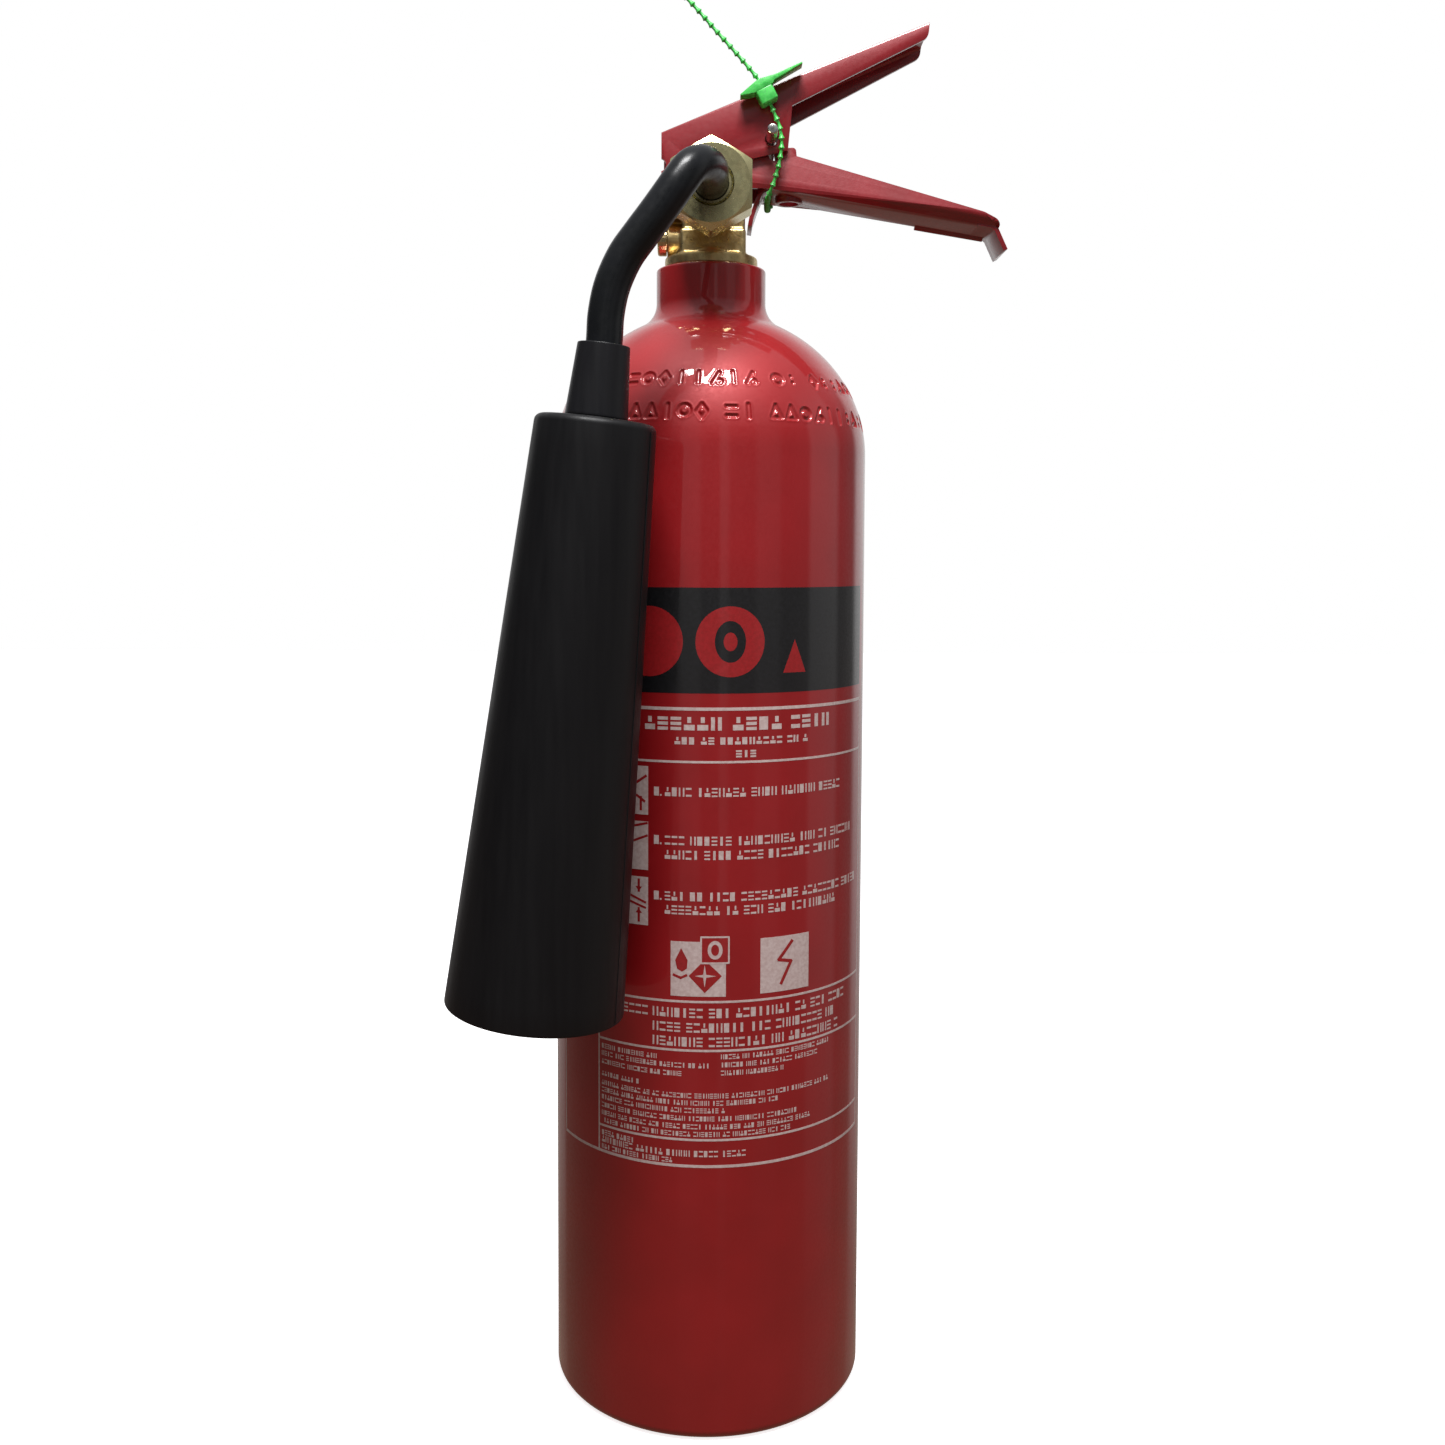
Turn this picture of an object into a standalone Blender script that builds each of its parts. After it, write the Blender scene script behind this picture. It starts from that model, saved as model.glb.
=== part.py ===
"""Carbon dioxide fire extinguisher with a swivelling discharge horn.

Metres, +Z up. The origin is the middle of the cylinder's flat base. +X points along the
carry handle, and the discharge horn hangs on the -Y side.
"""

import math

import bmesh
import bpy
from mathutils import Matrix, Vector

# Driving dimensions.
GAP = 0.0003  # clearance between touching pieces
CYLINDER_R = 0.0585
CYLINDER_WALL = 0.0055
BASE_THICKNESS = 0.009
BASE_CORNER = 0.004
DOME_START_Z = 0.352
DOME_RISE = 0.054
NECK_R = 0.0205
NECK_TOP_Z = 0.4217
NECK_FILLET = 0.010
NECK_BORE_R = 0.0121

FLANGE_R = 0.0174
FLANGE_BOTTOM_Z = NECK_TOP_Z + GAP
FLANGE_TOP_Z = 0.4262
BLOCK_X = (-0.0115, 0.0128)
BLOCK_HALF_Y = 0.013
BLOCK_TOP_Z = 0.4353
UPPER_X = (-0.0172, 0.0125)
UPPER_HALF_Y = 0.0106
UPPER_TOP_Z = 0.4615
REAR_BOTTOM_Z = 0.4398
THREAD_R = NECK_BORE_R - GAP
THREAD_BOTTOM_Z = 0.392

OUTLET_Z = 0.4443
OUTLET_R = 0.0085
OUTLET_END_Y = -0.0345
OUTLET_BORE_R = 0.003
NUT_ACROSS_FLATS = 0.0286
NUT_Y = (-0.042, -0.029)
NUT_LIP_R = 0.0075
TUBE_R = 0.006
TUBE_WALL = 0.0015

SEAT_Z = 0.4375
STEM_TOP_Z = 0.4743
STEM_R = 0.0022
STEM_NOSE_R = 0.0016
GLAND_R = 0.0057
SPRING_R = 0.0036
SPRING_WIRE_R = 0.0005
SPRING_TURNS = 6
RETAINER_TOP_Z = 0.4107

BURST_Z = 0.4328
BURST_BOSS_R = 0.0062
BURST_BOSS_X = -0.0165

HORN_TOP = Vector((-0.0371, -0.0783, 0.3592))
HORN_MOUTH = Vector((-0.0585, -0.0745, 0.1630))
HORN_TOP_R = 0.0200
HORN_MOUTH_R = 0.0302
HORN_WALL = 0.0024
COLLAR_HEIGHT = 0.0242
COLLAR_R = (0.0104, 0.0086)

PIVOT = Vector((-0.0125, 0, 0.4545))
PIVOT_R = 0.0024
SHEET = 0.0016
LEVER_HALF_Y = 0.0145
LEVER_TIP_HALF_Y = 0.0118
LEVER_TAPER_X = (0.030, 0.079)
HANDLE_HALF_Y = 0.0125
HANDLE_BEND = 0.004
HANDLE_PIN = Vector((0.0078, 0, 0.4572))
HANDLE_PIN_R = 0.0015
SAFETY_PIN = Vector((0.0218, 0, 0.4665))
SAFETY_PIN_R = 0.0019
SAFETY_PIN_Y = (-0.0285, 0.0205)
SQUEEZE = math.radians(8)
RING_R = 0.012
RING_WIRE_R = 0.0009
RING_Y = 0.0238

SEAL_CENTRE = Vector((0.0188, -0.0181, 0.4828))  # where the seal's block meets its flag
SEAL_TILT = math.radians(27.7)
SEAL_STRAP_R = 0.00065
SEAL_BEAD_R = 0.00115
SEAL_BEAD_PITCH = 0.0039

# Underside of the carry handle, a straight line from its rear to its lip.
WEB_REAR = Vector((0.0195, 0, 0.4500))
WEB_FRONT = Vector((0.1045, 0, 0.4360))
LIP_TIP = Vector((0.1093, 0, 0.4281))

SEGMENTS = 48
SMALL_SEGMENTS = 24

parts = None
cutters = None


# Scene and helpers.
def clear_scene():
    for obj in list(bpy.data.objects):
        bpy.data.objects.remove(obj, do_unlink=True)


def new_collection(name):
    collection = bpy.data.collections.new(name)
    bpy.context.scene.collection.children.link(collection)
    return collection


def new_material(name, colour, roughness, metallic=0.0):
    material = bpy.data.materials.new(name)
    material.use_nodes = True
    shader = material.node_tree.nodes["Principled BSDF"]
    shader.inputs["Base Color"].default_value = (*colour, 1)
    shader.inputs["Roughness"].default_value = roughness
    shader.inputs["Metallic"].default_value = metallic
    return material


def add_object(name, mesh, material=None, cutter=False):
    obj = bpy.data.objects.new(name, mesh)
    (cutters if cutter else parts).objects.link(obj)
    if cutter:
        obj.hide_render = True
        obj.display_type = "WIRE"
    elif material:
        mesh.materials.append(material)
    return obj


def mesh_from(build):
    """A mesh made by a function that fills a bmesh."""
    bm = bmesh.new()
    build(bm)
    bmesh.ops.recalc_face_normals(bm, faces=bm.faces)
    mesh = bpy.data.meshes.new("shape")
    bm.to_mesh(mesh)
    bm.free()
    return mesh


def smooth(obj, angle=35):
    obj.data.shade_smooth()
    obj.data.set_sharp_from_angle(angle=math.radians(angle))
    return obj


def arc(centre, radius, start, end, steps):
    """Points of an arc in a plane, angles in degrees from the first axis."""
    points = []
    for index in range(steps + 1):
        angle = math.radians(start + (end - start) * index / steps)
        points.append(
            (centre[0] + radius * math.cos(angle), centre[1] + radius * math.sin(angle))
        )
    return points


def rounded(corners, steps=4):
    """A closed outline from (x, z, radius) corners, each rounded by an arc."""
    points = []
    count = len(corners)
    for index, (x, z, radius) in enumerate(corners):
        here = Vector((x, z))
        before = (Vector(corners[index - 1][:2]) - here).normalized()
        after = (Vector(corners[(index + 1) % count][:2]) - here).normalized()
        if radius == 0:
            points.append((x, z))
            continue
        half = before.angle(after) / 2
        reach = radius / math.tan(half)
        middle = here + (before + after).normalized() * radius / math.sin(half)
        first = here + before * reach - middle
        last = here + after * reach - middle
        turn = first.angle_signed(last)
        for step in range(steps + 1):
            spoke = first.copy()
            spoke.rotate(Matrix.Rotation(-turn * step / steps, 2))
            points.append(tuple(middle + spoke))
    return points


def turned(name, outline, material=None, closed=False, segments=SMALL_SEGMENTS, cutter=False):
    """A solid turned about Z. The outline runs down its outer side."""
    mesh = bpy.data.meshes.new(name)
    vertices = [(radius, 0, height) for radius, height in outline]
    edges = [(index, index + 1) for index in range(len(outline) - 1)]
    if closed:
        edges.append((len(outline) - 1, 0))
    mesh.from_pydata(vertices, edges, [])
    obj = add_object(name, mesh, material, cutter)
    screw = obj.modifiers.new("turn", "SCREW")
    screw.steps = segments
    screw.render_steps = segments
    screw.use_merge_vertices = True
    screw.merge_threshold = 0.00001
    return obj


def as_mesh(obj):
    """The same object with its modifiers applied to its mesh."""
    bpy.context.view_layer.update()
    graph = bpy.context.evaluated_depsgraph_get()
    mesh = bpy.data.meshes.new_from_object(obj.evaluated_get(graph))
    if obj.type == "MESH":
        obj.modifiers.clear()
        obj.data = mesh
        return obj
    made = bpy.data.objects.new(obj.name, mesh)
    for collection in obj.users_collection:
        collection.objects.link(made)
    made.matrix_world = obj.matrix_world
    made.hide_render = obj.hide_render
    made.display_type = obj.display_type
    name = obj.name
    bpy.data.objects.remove(obj, do_unlink=True)
    made.name = name
    bm = bmesh.new()
    bm.from_mesh(mesh)
    bmesh.ops.remove_doubles(bm, verts=bm.verts, dist=0.000001)
    bmesh.ops.recalc_face_normals(bm, faces=bm.faces)
    bm.to_mesh(mesh)
    bm.free()
    return made


def slab(name, outline, half_depth, material=None, cutter=False):
    """A flat outline in XY, extruded to both sides along Z."""
    curve = bpy.data.curves.new(name, "CURVE")
    curve.dimensions = "2D"
    curve.fill_mode = "BOTH"
    curve.extrude = half_depth
    spline = curve.splines.new("POLY")
    spline.points.add(len(outline) - 1)
    for point, (x, y) in zip(spline.points, outline):
        point.co = (x, y, 0, 1)
    spline.use_cyclic_u = True
    return as_mesh(add_object(name, curve, material, cutter))


def plate(name, outline, half_width, material=None, cutter=False):
    """A flat outline in XZ, extruded to both sides along Y."""
    obj = slab(name, outline, half_width, material, cutter)
    obj.data.transform(Matrix.Rotation(math.pi / 2, 4, "X"))
    return obj


def strip_outline(path, thickness):
    """The closed outline of a bent strip whose middle follows the path in XZ."""
    left = []
    right = []
    for index, point in enumerate(path):
        here = Vector(point)
        ahead = Vector(path[min(index + 1, len(path) - 1)])
        behind = Vector(path[max(index - 1, 0)])
        along = (ahead - behind).normalized()
        side = Vector((-along.y, along.x)) * thickness / 2
        left.append(tuple(here + side))
        right.append(tuple(here - side))
    return left + right[::-1]


def rod(name, start, end, radius, material=None, cutter=False, segments=SMALL_SEGMENTS):
    """A plain round bar between two points."""
    start = Vector(start)
    end = Vector(end)
    length = (end - start).length

    def build(bm):
        bmesh.ops.create_cone(
            bm, cap_ends=True, segments=segments, radius1=radius, radius2=radius, depth=length
        )

    obj = add_object(name, mesh_from(build), material, cutter)
    turn = (end - start).to_track_quat("Z", "Y").to_matrix().to_4x4()
    obj.data.transform(Matrix.Translation((start + end) / 2) @ turn)
    return obj


def box(name, low, high, material=None, cutter=False, bevel=0.0):
    low = Vector(low)
    high = Vector(high)
    size = high - low

    def build(bm):
        bmesh.ops.create_cube(bm, size=1)
        bmesh.ops.scale(bm, vec=size, verts=bm.verts)
        bmesh.ops.translate(bm, vec=(low + high) / 2, verts=bm.verts)
        if bevel:
            bmesh.ops.bevel(
                bm, geom=bm.edges[:], offset=bevel, segments=2, profile=0.5, affect="EDGES"
            )

    return add_object(name, mesh_from(build), material, cutter)


def clean(mesh):
    """Merges stray points and splits faces into triangles, which are always flat."""
    bm = bmesh.new()
    bm.from_mesh(mesh)
    bmesh.ops.remove_doubles(bm, verts=bm.verts, dist=0.000002)
    bmesh.ops.triangulate(bm, faces=bm.faces)
    bm.to_mesh(mesh)
    bm.free()


def combine(obj, other, operation):
    """Joins or cuts one solid with another, and removes the helper."""
    clean(obj.data)
    clean(other.data)
    modifier = obj.modifiers.new(operation.lower(), "BOOLEAN")
    modifier.operation = operation
    modifier.solver = "EXACT"
    modifier.object = other
    as_mesh(obj)
    bpy.data.objects.remove(other, do_unlink=True)
    return obj


def union(obj, *others):
    for other in others:
        combine(obj, other, "UNION")
    return obj


def cut(obj, *others):
    for other in others:
        combine(obj, other, "DIFFERENCE")
    return obj


def point_along(obj, direction, origin):
    """Turns an object's own Z onto a direction and moves it to the origin."""
    turn = Vector(direction).to_track_quat("Z", "Y").to_matrix().to_4x4()
    obj.matrix_world = Matrix.Translation(origin) @ turn
    return obj


def smooth_route(points, steps):
    """Points on a Catmull-Rom curve through the given ones."""
    padded = [points[0] * 2 - points[1], *points, points[-1] * 2 - points[-2]]
    route = []
    for index in range(len(points) - 1):
        a, b, c, d = padded[index : index + 4]
        for step in range(steps):
            t = step / steps
            route.append(
                0.5
                * (
                    b * 2
                    + (c - a) * t
                    + (a * 2 - b * 5 + c * 4 - d) * t * t
                    + (b * 3 - a - c * 3 + d) * t * t * t
                )
            )
    route.append(points[-1])
    return route


def wire(name, points, radius, material, resolution=2, cyclic=False, caps=True):
    curve = bpy.data.curves.new(name, "CURVE")
    curve.dimensions = "3D"
    curve.bevel_depth = radius
    curve.bevel_resolution = resolution
    curve.use_fill_caps = caps
    spline = curve.splines.new("POLY")
    spline.points.add(len(points) - 1)
    for point, place in zip(spline.points, points):
        point.co = (*place, 1)
    spline.use_cyclic_u = cyclic
    return add_object(name, curve, material)


def ring(name, centre, axis, radius, wire_radius, material, segments=SMALL_SEGMENTS):
    """A round-section ring, turned from its section."""
    section = arc((radius, 0), wire_radius, 90, -210, 5)
    obj = turned(name, section, material, closed=True, segments=segments)
    return smooth(point_along(obj, axis, centre))


def attach(pivot_name, place, objects):
    """Parents pieces to an empty that sits on their joint's axis."""
    empty = bpy.data.objects.new(pivot_name, None)
    empty.location = place
    empty.empty_display_size = 0.02
    parts.objects.link(empty)
    bpy.context.view_layer.update()
    for obj in objects:
        obj.parent = empty
        obj.matrix_parent_inverse = empty.matrix_world.inverted()
    return empty


# Pressure cylinder.
def neck_fillet():
    """The concave arc between the dome and the neck, from the neck down."""
    centre_x = NECK_R + NECK_FILLET
    low = 0.0
    high = math.pi / 2
    for _ in range(40):
        angle = (low + high) / 2
        x = CYLINDER_R * math.cos(angle)
        z = DOME_RISE * math.sin(angle)
        normal = Vector((x / CYLINDER_R**2, z / DOME_RISE**2)).normalized()
        if x + normal.x * NECK_FILLET > centre_x:
            low = angle
        else:
            high = angle
    centre = (centre_x, DOME_START_Z + z + normal.y * NECK_FILLET)
    end = math.degrees(math.atan2(-normal.y, -normal.x))
    return arc(centre, NECK_FILLET, 180, end + 360, 4), angle


def make_cylinder(material):
    fillet, dome_end = neck_fillet()
    dome = []
    for step in range(1, 10):
        angle = dome_end * (1 - step / 9)
        dome.append(
            (CYLINDER_R * math.cos(angle), DOME_START_Z + DOME_RISE * math.sin(angle))
        )
    inner_r = CYLINDER_R - CYLINDER_WALL
    inner_rise = DOME_RISE - CYLINDER_WALL
    inner = [(0, BASE_THICKNESS)]
    inner += arc((inner_r - 0.012, BASE_THICKNESS + 0.012), 0.012, -90, 0, 3)
    inner_end = math.degrees(math.acos(NECK_BORE_R / inner_r))
    for step in range(7):
        angle = math.radians(inner_end * step / 6)
        inner.append((inner_r * math.cos(angle), DOME_START_Z + inner_rise * math.sin(angle)))
    seal_r = NECK_BORE_R + 0.0029
    seal_z = NECK_TOP_Z - 0.003
    rim = [(NECK_BORE_R, seal_z), (seal_r, seal_z), (seal_r, NECK_TOP_Z)]
    top = arc((NECK_R - 0.001, NECK_TOP_Z - 0.001), 0.001, 90, 0, 2)
    base = arc((CYLINDER_R - BASE_CORNER, BASE_CORNER), BASE_CORNER, 0, -90, 4)
    outline = inner + rim + top + fillet + dome + base + [(0, 0)]
    return smooth(turned("cylinder", outline, material, segments=SEGMENTS))


def make_neck_seal(material):
    return ring("neck_seal", (0, 0, NECK_TOP_Z - 0.0013), (0, 0, 1), 0.01345, 0.0013, material, 32)


# Valve.
def make_valve_body(material):
    flange = [(0, FLANGE_TOP_Z + 0.002)]
    flange += [(FLANGE_R - 0.0045, FLANGE_TOP_Z + 0.002), (FLANGE_R - 0.003, FLANGE_TOP_Z)]
    flange += arc((FLANGE_R - 0.0008, FLANGE_TOP_Z - 0.0008), 0.0008, 90, 0, 2)
    flange += [(FLANGE_R, FLANGE_BOTTOM_Z), (THREAD_R, FLANGE_BOTTOM_Z)]
    flange += [(THREAD_R, THREAD_BOTTOM_Z + 0.001), (THREAD_R - 0.001, THREAD_BOTTOM_Z)]
    flange += [(0, THREAD_BOTTOM_Z)]
    body = as_mesh(turned("valve_body", flange, material, segments=SEGMENTS))
    block = box(
        "block",
        (BLOCK_X[0], -BLOCK_HALF_Y, FLANGE_TOP_Z - 0.001),
        (BLOCK_X[1], BLOCK_HALF_Y, BLOCK_TOP_Z),
        cutter=True,
        bevel=0.0012,
    )
    upper = box(
        "upper",
        (BLOCK_X[0] + 0.0010, -UPPER_HALF_Y, BLOCK_TOP_Z - 0.004),
        (UPPER_X[1], UPPER_HALF_Y, UPPER_TOP_Z),
        cutter=True,
        bevel=0.0009,
    )
    rear = box(
        "rear",
        (UPPER_X[0], -UPPER_HALF_Y + 0.0004, REAR_BOTTOM_Z),
        (0.0060, UPPER_HALF_Y - 0.0004, UPPER_TOP_Z - 0.0003),
        cutter=True,
        bevel=0.0009,
    )
    outlet = rod("outlet", (0, 0, OUTLET_Z), (0, OUTLET_END_Y, OUTLET_Z), OUTLET_R, cutter=True)
    boss = rod(
        "boss", (-0.004, 0, BURST_Z), (BURST_BOSS_X, 0, BURST_Z), BURST_BOSS_R, cutter=True
    )
    union(body, block, upper, rear, outlet, boss)
    bores = [
        ((0, 0, UPPER_TOP_Z + 0.002), (0, 0, 0.4515), GLAND_R + GAP),
        ((0, 0, 0.4520), (0, 0, 0.4400), 0.0036),
        ((0, 0, 0.4405), (0, 0, SEAT_Z - 0.001), 0.0026),
        ((0, 0, SEAT_Z), (0, 0, 0.4105), 0.0060),
        ((0, 0, 0.4110), (0, 0, THREAD_BOTTOM_Z - 0.002), 0.0071),
        ((0, 0, OUTLET_Z), (0, OUTLET_END_Y - 0.002, OUTLET_Z), OUTLET_BORE_R),
        ((-0.003, 0, BURST_Z), (BURST_BOSS_X, 0, BURST_Z), 0.0015),
        ((BURST_BOSS_X + 0.0025, 0, BURST_Z), (BURST_BOSS_X - 0.002, 0, BURST_Z), 0.0043),
    ]
    for index, (start, end, radius) in enumerate(bores):
        cut(body, rod(f"bore_{index}", start, end, radius, cutter=True))
    cut(body, cross_hole("rivet_hole", PIVOT, PIVOT_R + GAP))
    cut(body, cross_hole("pin_hole", HANDLE_PIN, HANDLE_PIN_R + GAP))
    return smooth(body)


def cross_hole(name, place, radius, half_width=0.03):
    """A cutter that runs along Y through a point."""
    side = Vector((0, half_width, 0))
    return rod(name, place - side, place + side, radius, cutter=True, segments=16)


def make_stem(material):
    shoulder_z = 0.4525
    dome_z = STEM_TOP_Z - STEM_R
    outline = [(0, STEM_TOP_Z)] + arc((0, dome_z), STEM_R, 70, 0, 4)
    outline += [(STEM_R, shoulder_z), (STEM_NOSE_R, shoulder_z - 0.0006)]
    outline += [(STEM_NOSE_R, SEAT_Z - 0.0024), (0, SEAT_Z - 0.0024)]
    return smooth(turned("valve_stem", outline, material, segments=16))


def make_poppet(material):
    top = SEAT_Z - GAP
    hole = STEM_NOSE_R + GAP
    outline = [(0, SEAT_Z - 0.0028), (hole, SEAT_Z - 0.0028), (hole, top), (0.0046, top)]
    outline += [(0.0046, SEAT_Z - 0.0045), (0.0026, SEAT_Z - 0.0045), (0.0026, SEAT_Z - 0.0065)]
    outline += [(0, SEAT_Z - 0.0065)]
    return smooth(turned("valve_poppet", outline, material))


def make_gland(material):
    head_bottom = UPPER_TOP_Z + GAP
    head_top = 0.4655
    outline = [(STEM_R + GAP, head_top), (0.0068, head_top), (0.0074, head_top - 0.0006)]
    outline += [(0.0074, head_bottom), (GLAND_R, head_bottom), (GLAND_R, 0.4519)]
    outline += [(0.0041, 0.4519), (0.0041, 0.4542), (STEM_R + GAP, 0.4542)]
    return smooth(turned("stem_gland", outline, material, closed=True))


def make_stem_seal(material):
    return ring("stem_seal", (0, 0, 0.4529), (0, 0, 1), 0.0032, 0.0006, material)


def make_spring(material):
    bottom = RETAINER_TOP_Z + GAP + SPRING_WIRE_R
    top = SEAT_Z - 0.0045 - GAP - SPRING_WIRE_R
    points = []
    count = SPRING_TURNS * 12
    for index in range(count + 1):
        share = index / count
        angle = 2 * math.pi * SPRING_TURNS * share
        height = bottom + (top - bottom) * share
        points.append(Vector((SPRING_R * math.cos(angle), SPRING_R * math.sin(angle), height)))
    return wire("return_spring", points, SPRING_WIRE_R, material, resolution=1)


def make_retainer(material):
    outer = 0.0068
    outline = [(0.0030, RETAINER_TOP_Z), (outer - 0.0006, RETAINER_TOP_Z)]
    outline += [(outer, RETAINER_TOP_Z - 0.0006), (outer, 0.3950), (0.0053, 0.3950)]
    outline += [(0.0053, 0.4035), (0.0030, 0.4035)]
    return smooth(turned("spring_retainer", outline, material, closed=True))


def make_dip_tube(material):
    top = 0.4030
    bottom = 0.0125
    outline = [(0.0038, top), (0.0050, top), (0.0050, bottom), (0.0038, bottom)]
    tube = as_mesh(turned("dip_tube", outline, material, closed=True))
    scarf = box("scarf", (-0.03, -0.02, -0.03), (0.03, 0.02, 0), cutter=True)
    scarf.data.transform(Matrix.Rotation(math.radians(35), 4, "Y"))
    scarf.data.transform(Matrix.Translation((0, 0, bottom + 0.0035)))
    return smooth(cut(tube, scarf))


def make_burst_parts(disc_material, washer_material, plug_material):
    face = BURST_BOSS_X
    disc_x = face + 0.0025 - GAP
    disc = rod("burst_disc", (disc_x, 0, BURST_Z), (disc_x - 0.0004, 0, BURST_Z), 0.0040, disc_material)
    washer_x = disc_x - 0.0004 - GAP
    washer_outline = [(0.0022, 0), (0.0040, 0), (0.0040, -0.0008), (0.0022, -0.0008)]
    washer = turned("burst_disc_washer", washer_outline, washer_material, closed=True)
    point_along(washer, (1, 0, 0), (washer_x, 0, BURST_Z))
    nose = washer_x - 0.0008 - GAP - face
    plug_outline = [(0.0012, nose), (0.0040, nose), (0.0040, -GAP), (0.0056, -GAP)]
    plug_outline += arc((0.0048, -0.0028), 0.0008, 0, -90, 2)
    plug_outline += [(0.0012, -0.0036)]
    plug = turned("burst_disc_plug", plug_outline, plug_material, closed=True)
    point_along(plug, (1, 0, 0), (face, 0, BURST_Z))
    return smooth(disc), smooth(washer), smooth(plug)


# Discharge side.
def make_nut(material):
    corner = NUT_ACROSS_FLATS / math.sqrt(3)

    def build(bm):
        bmesh.ops.create_cone(
            bm,
            cap_ends=True,
            segments=6,
            radius1=corner,
            radius2=corner,
            depth=NUT_Y[1] - NUT_Y[0],
        )
        # The first corner of a cone is on its own Y axis, which points up once it is turned.
        bmesh.ops.rotate(
            bm, matrix=Matrix.Rotation(math.radians(90), 3, "X"), verts=bm.verts, cent=(0, 0, 0)
        )
        bmesh.ops.translate(bm, vec=(0, sum(NUT_Y) / 2, OUTLET_Z), verts=bm.verts)

    nut = add_object("swivel_nut", mesh_from(build), material)
    flat = NUT_ACROSS_FLATS / 2
    depth = NUT_Y[1] - NUT_Y[0]
    chamfer = [(0, 0), (flat * 0.97, 0), (corner + 0.001, -0.0020)]
    chamfer += [(corner + 0.001, -depth - 0.002), (0, -depth - 0.002)]
    barrel = as_mesh(turned("barrel", chamfer, cutter=True, segments=SEGMENTS))
    point_along(barrel, (0, -1, 0), (0, NUT_Y[0], OUTLET_Z))
    combine(nut, barrel, "INTERSECT")
    outer_bore = rod(
        "lip_bore",
        (0, NUT_Y[0] - 0.002, OUTLET_Z),
        (0, NUT_Y[1] + 0.002, OUTLET_Z),
        NUT_LIP_R,
        cutter=True,
    )
    thread_bore = rod(
        "thread_bore",
        (0, -0.0391, OUTLET_Z),
        (0, NUT_Y[1] + 0.002, OUTLET_Z),
        OUTLET_R + GAP + 0.0002,
        cutter=True,
    )
    return smooth(cut(nut, outer_bore, thread_bore), 25)


def make_ferrule(material):
    inner = TUBE_R + GAP
    outline = [(inner, 0.0052), (0.0071, 0.0052), (0.0071, 0.0026), (0.0083, 0.0026)]
    outline += [(0.0083, 0), (inner, 0)]
    ferrule = turned("tube_ferrule", outline, material, closed=True)
    point_along(ferrule, (0, -1, 0), (0, OUTLET_END_Y - 0.0019, OUTLET_Z))
    return smooth(ferrule)


def make_swivel_seal(material):
    centre = (0, OUTLET_END_Y - 0.00095, OUTLET_Z)
    return ring("swivel_seal", centre, (0, 1, 0), 0.0058, 0.0006, material)


def tube_route():
    """Middle line of the discharge tube, from the outlet to the horn."""
    axis = (HORN_TOP - HORN_MOUTH).normalized()
    stations = [
        Vector((0, OUTLET_END_Y - 0.0025, OUTLET_Z)),
        Vector((0, -0.0500, OUTLET_Z)),
        Vector((-0.0003, -0.0600, OUTLET_Z)),
        Vector((-0.0028, -0.0693, 0.4435)),
        Vector((-0.0064, -0.0755, 0.4408)),
        Vector((-0.0103, -0.0780, 0.4354)),
        Vector((-0.0138, -0.0786, 0.4304)),
        Vector((-0.0180, -0.0787, 0.4246)),
        Vector((-0.0227, -0.0787, 0.4184)),
        Vector((-0.0278, -0.0787, 0.4112)),
        Vector((-0.0318, -0.0787, 0.4022)),
        Vector((-0.0338, -0.0787, 0.3930)),
        HORN_TOP + axis * COLLAR_HEIGHT,
        HORN_TOP + axis * 0.0050,
    ]
    return smooth_route(stations, 4)


def make_discharge_tube(material):
    tube = as_mesh(wire("discharge_tube", tube_route(), TUBE_R, material, 4, caps=False))
    skin = tube.modifiers.new("wall", "SOLIDIFY")
    skin.thickness = TUBE_WALL
    skin.offset = -1
    return smooth(tube, 60)


def make_collar(material):
    bore = TUBE_R + GAP
    low_r, high_r = COLLAR_R
    top = COLLAR_HEIGHT
    outline = [(bore, top), (high_r - 0.0004, top), (high_r, top - 0.0005)]
    outline += [(low_r, GAP + 0.001), (low_r - 0.0005, GAP), (bore, GAP)]
    collar = turned("horn_collar", outline, material, closed=True)
    return smooth(point_along(collar, HORN_TOP - HORN_MOUTH, HORN_TOP))


def make_jet(material):
    """The plugged orifice in the horn's top, with two cross holes."""
    length = 0.010
    outline = [(0, -length), (0.0022, -length), (0.0022, 0.0046), (0.0058, 0.0046)]
    outline += [(0.0058, -length), (0.0046, -length - 0.003), (0, -length - 0.003)]
    jet = as_mesh(turned("gas_jet", outline, material))
    height = -length + 0.003
    cut(jet, rod("hole_a", (-0.01, 0, height), (0.01, 0, height), 0.0009, cutter=True, segments=12))
    cut(jet, rod("hole_b", (0, -0.01, height), (0, 0.01, height), 0.0009, cutter=True, segments=12))
    return smooth(point_along(jet, HORN_TOP - HORN_MOUTH, HORN_TOP))


def make_horn(material):
    length = (HORN_TOP - HORN_MOUTH).length
    edge = 0.0025
    hole = 0.0064
    outline = [(hole, 0)] + arc((HORN_TOP_R - edge, -edge), edge, 90, 3, 4)
    outline += [(HORN_MOUTH_R, -length + 0.0006), (HORN_MOUTH_R - 0.0006, -length)]
    outline += [(HORN_MOUTH_R - HORN_WALL, -length)]
    inner_top = HORN_TOP_R - HORN_WALL
    outline += [(inner_top, -edge - 0.002), (inner_top - 0.002, -HORN_WALL), (hole, -HORN_WALL)]
    horn = turned("horn", outline, material, closed=True, segments=SEGMENTS)
    return smooth(point_along(horn, HORN_TOP - HORN_MOUTH, HORN_TOP))


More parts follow.
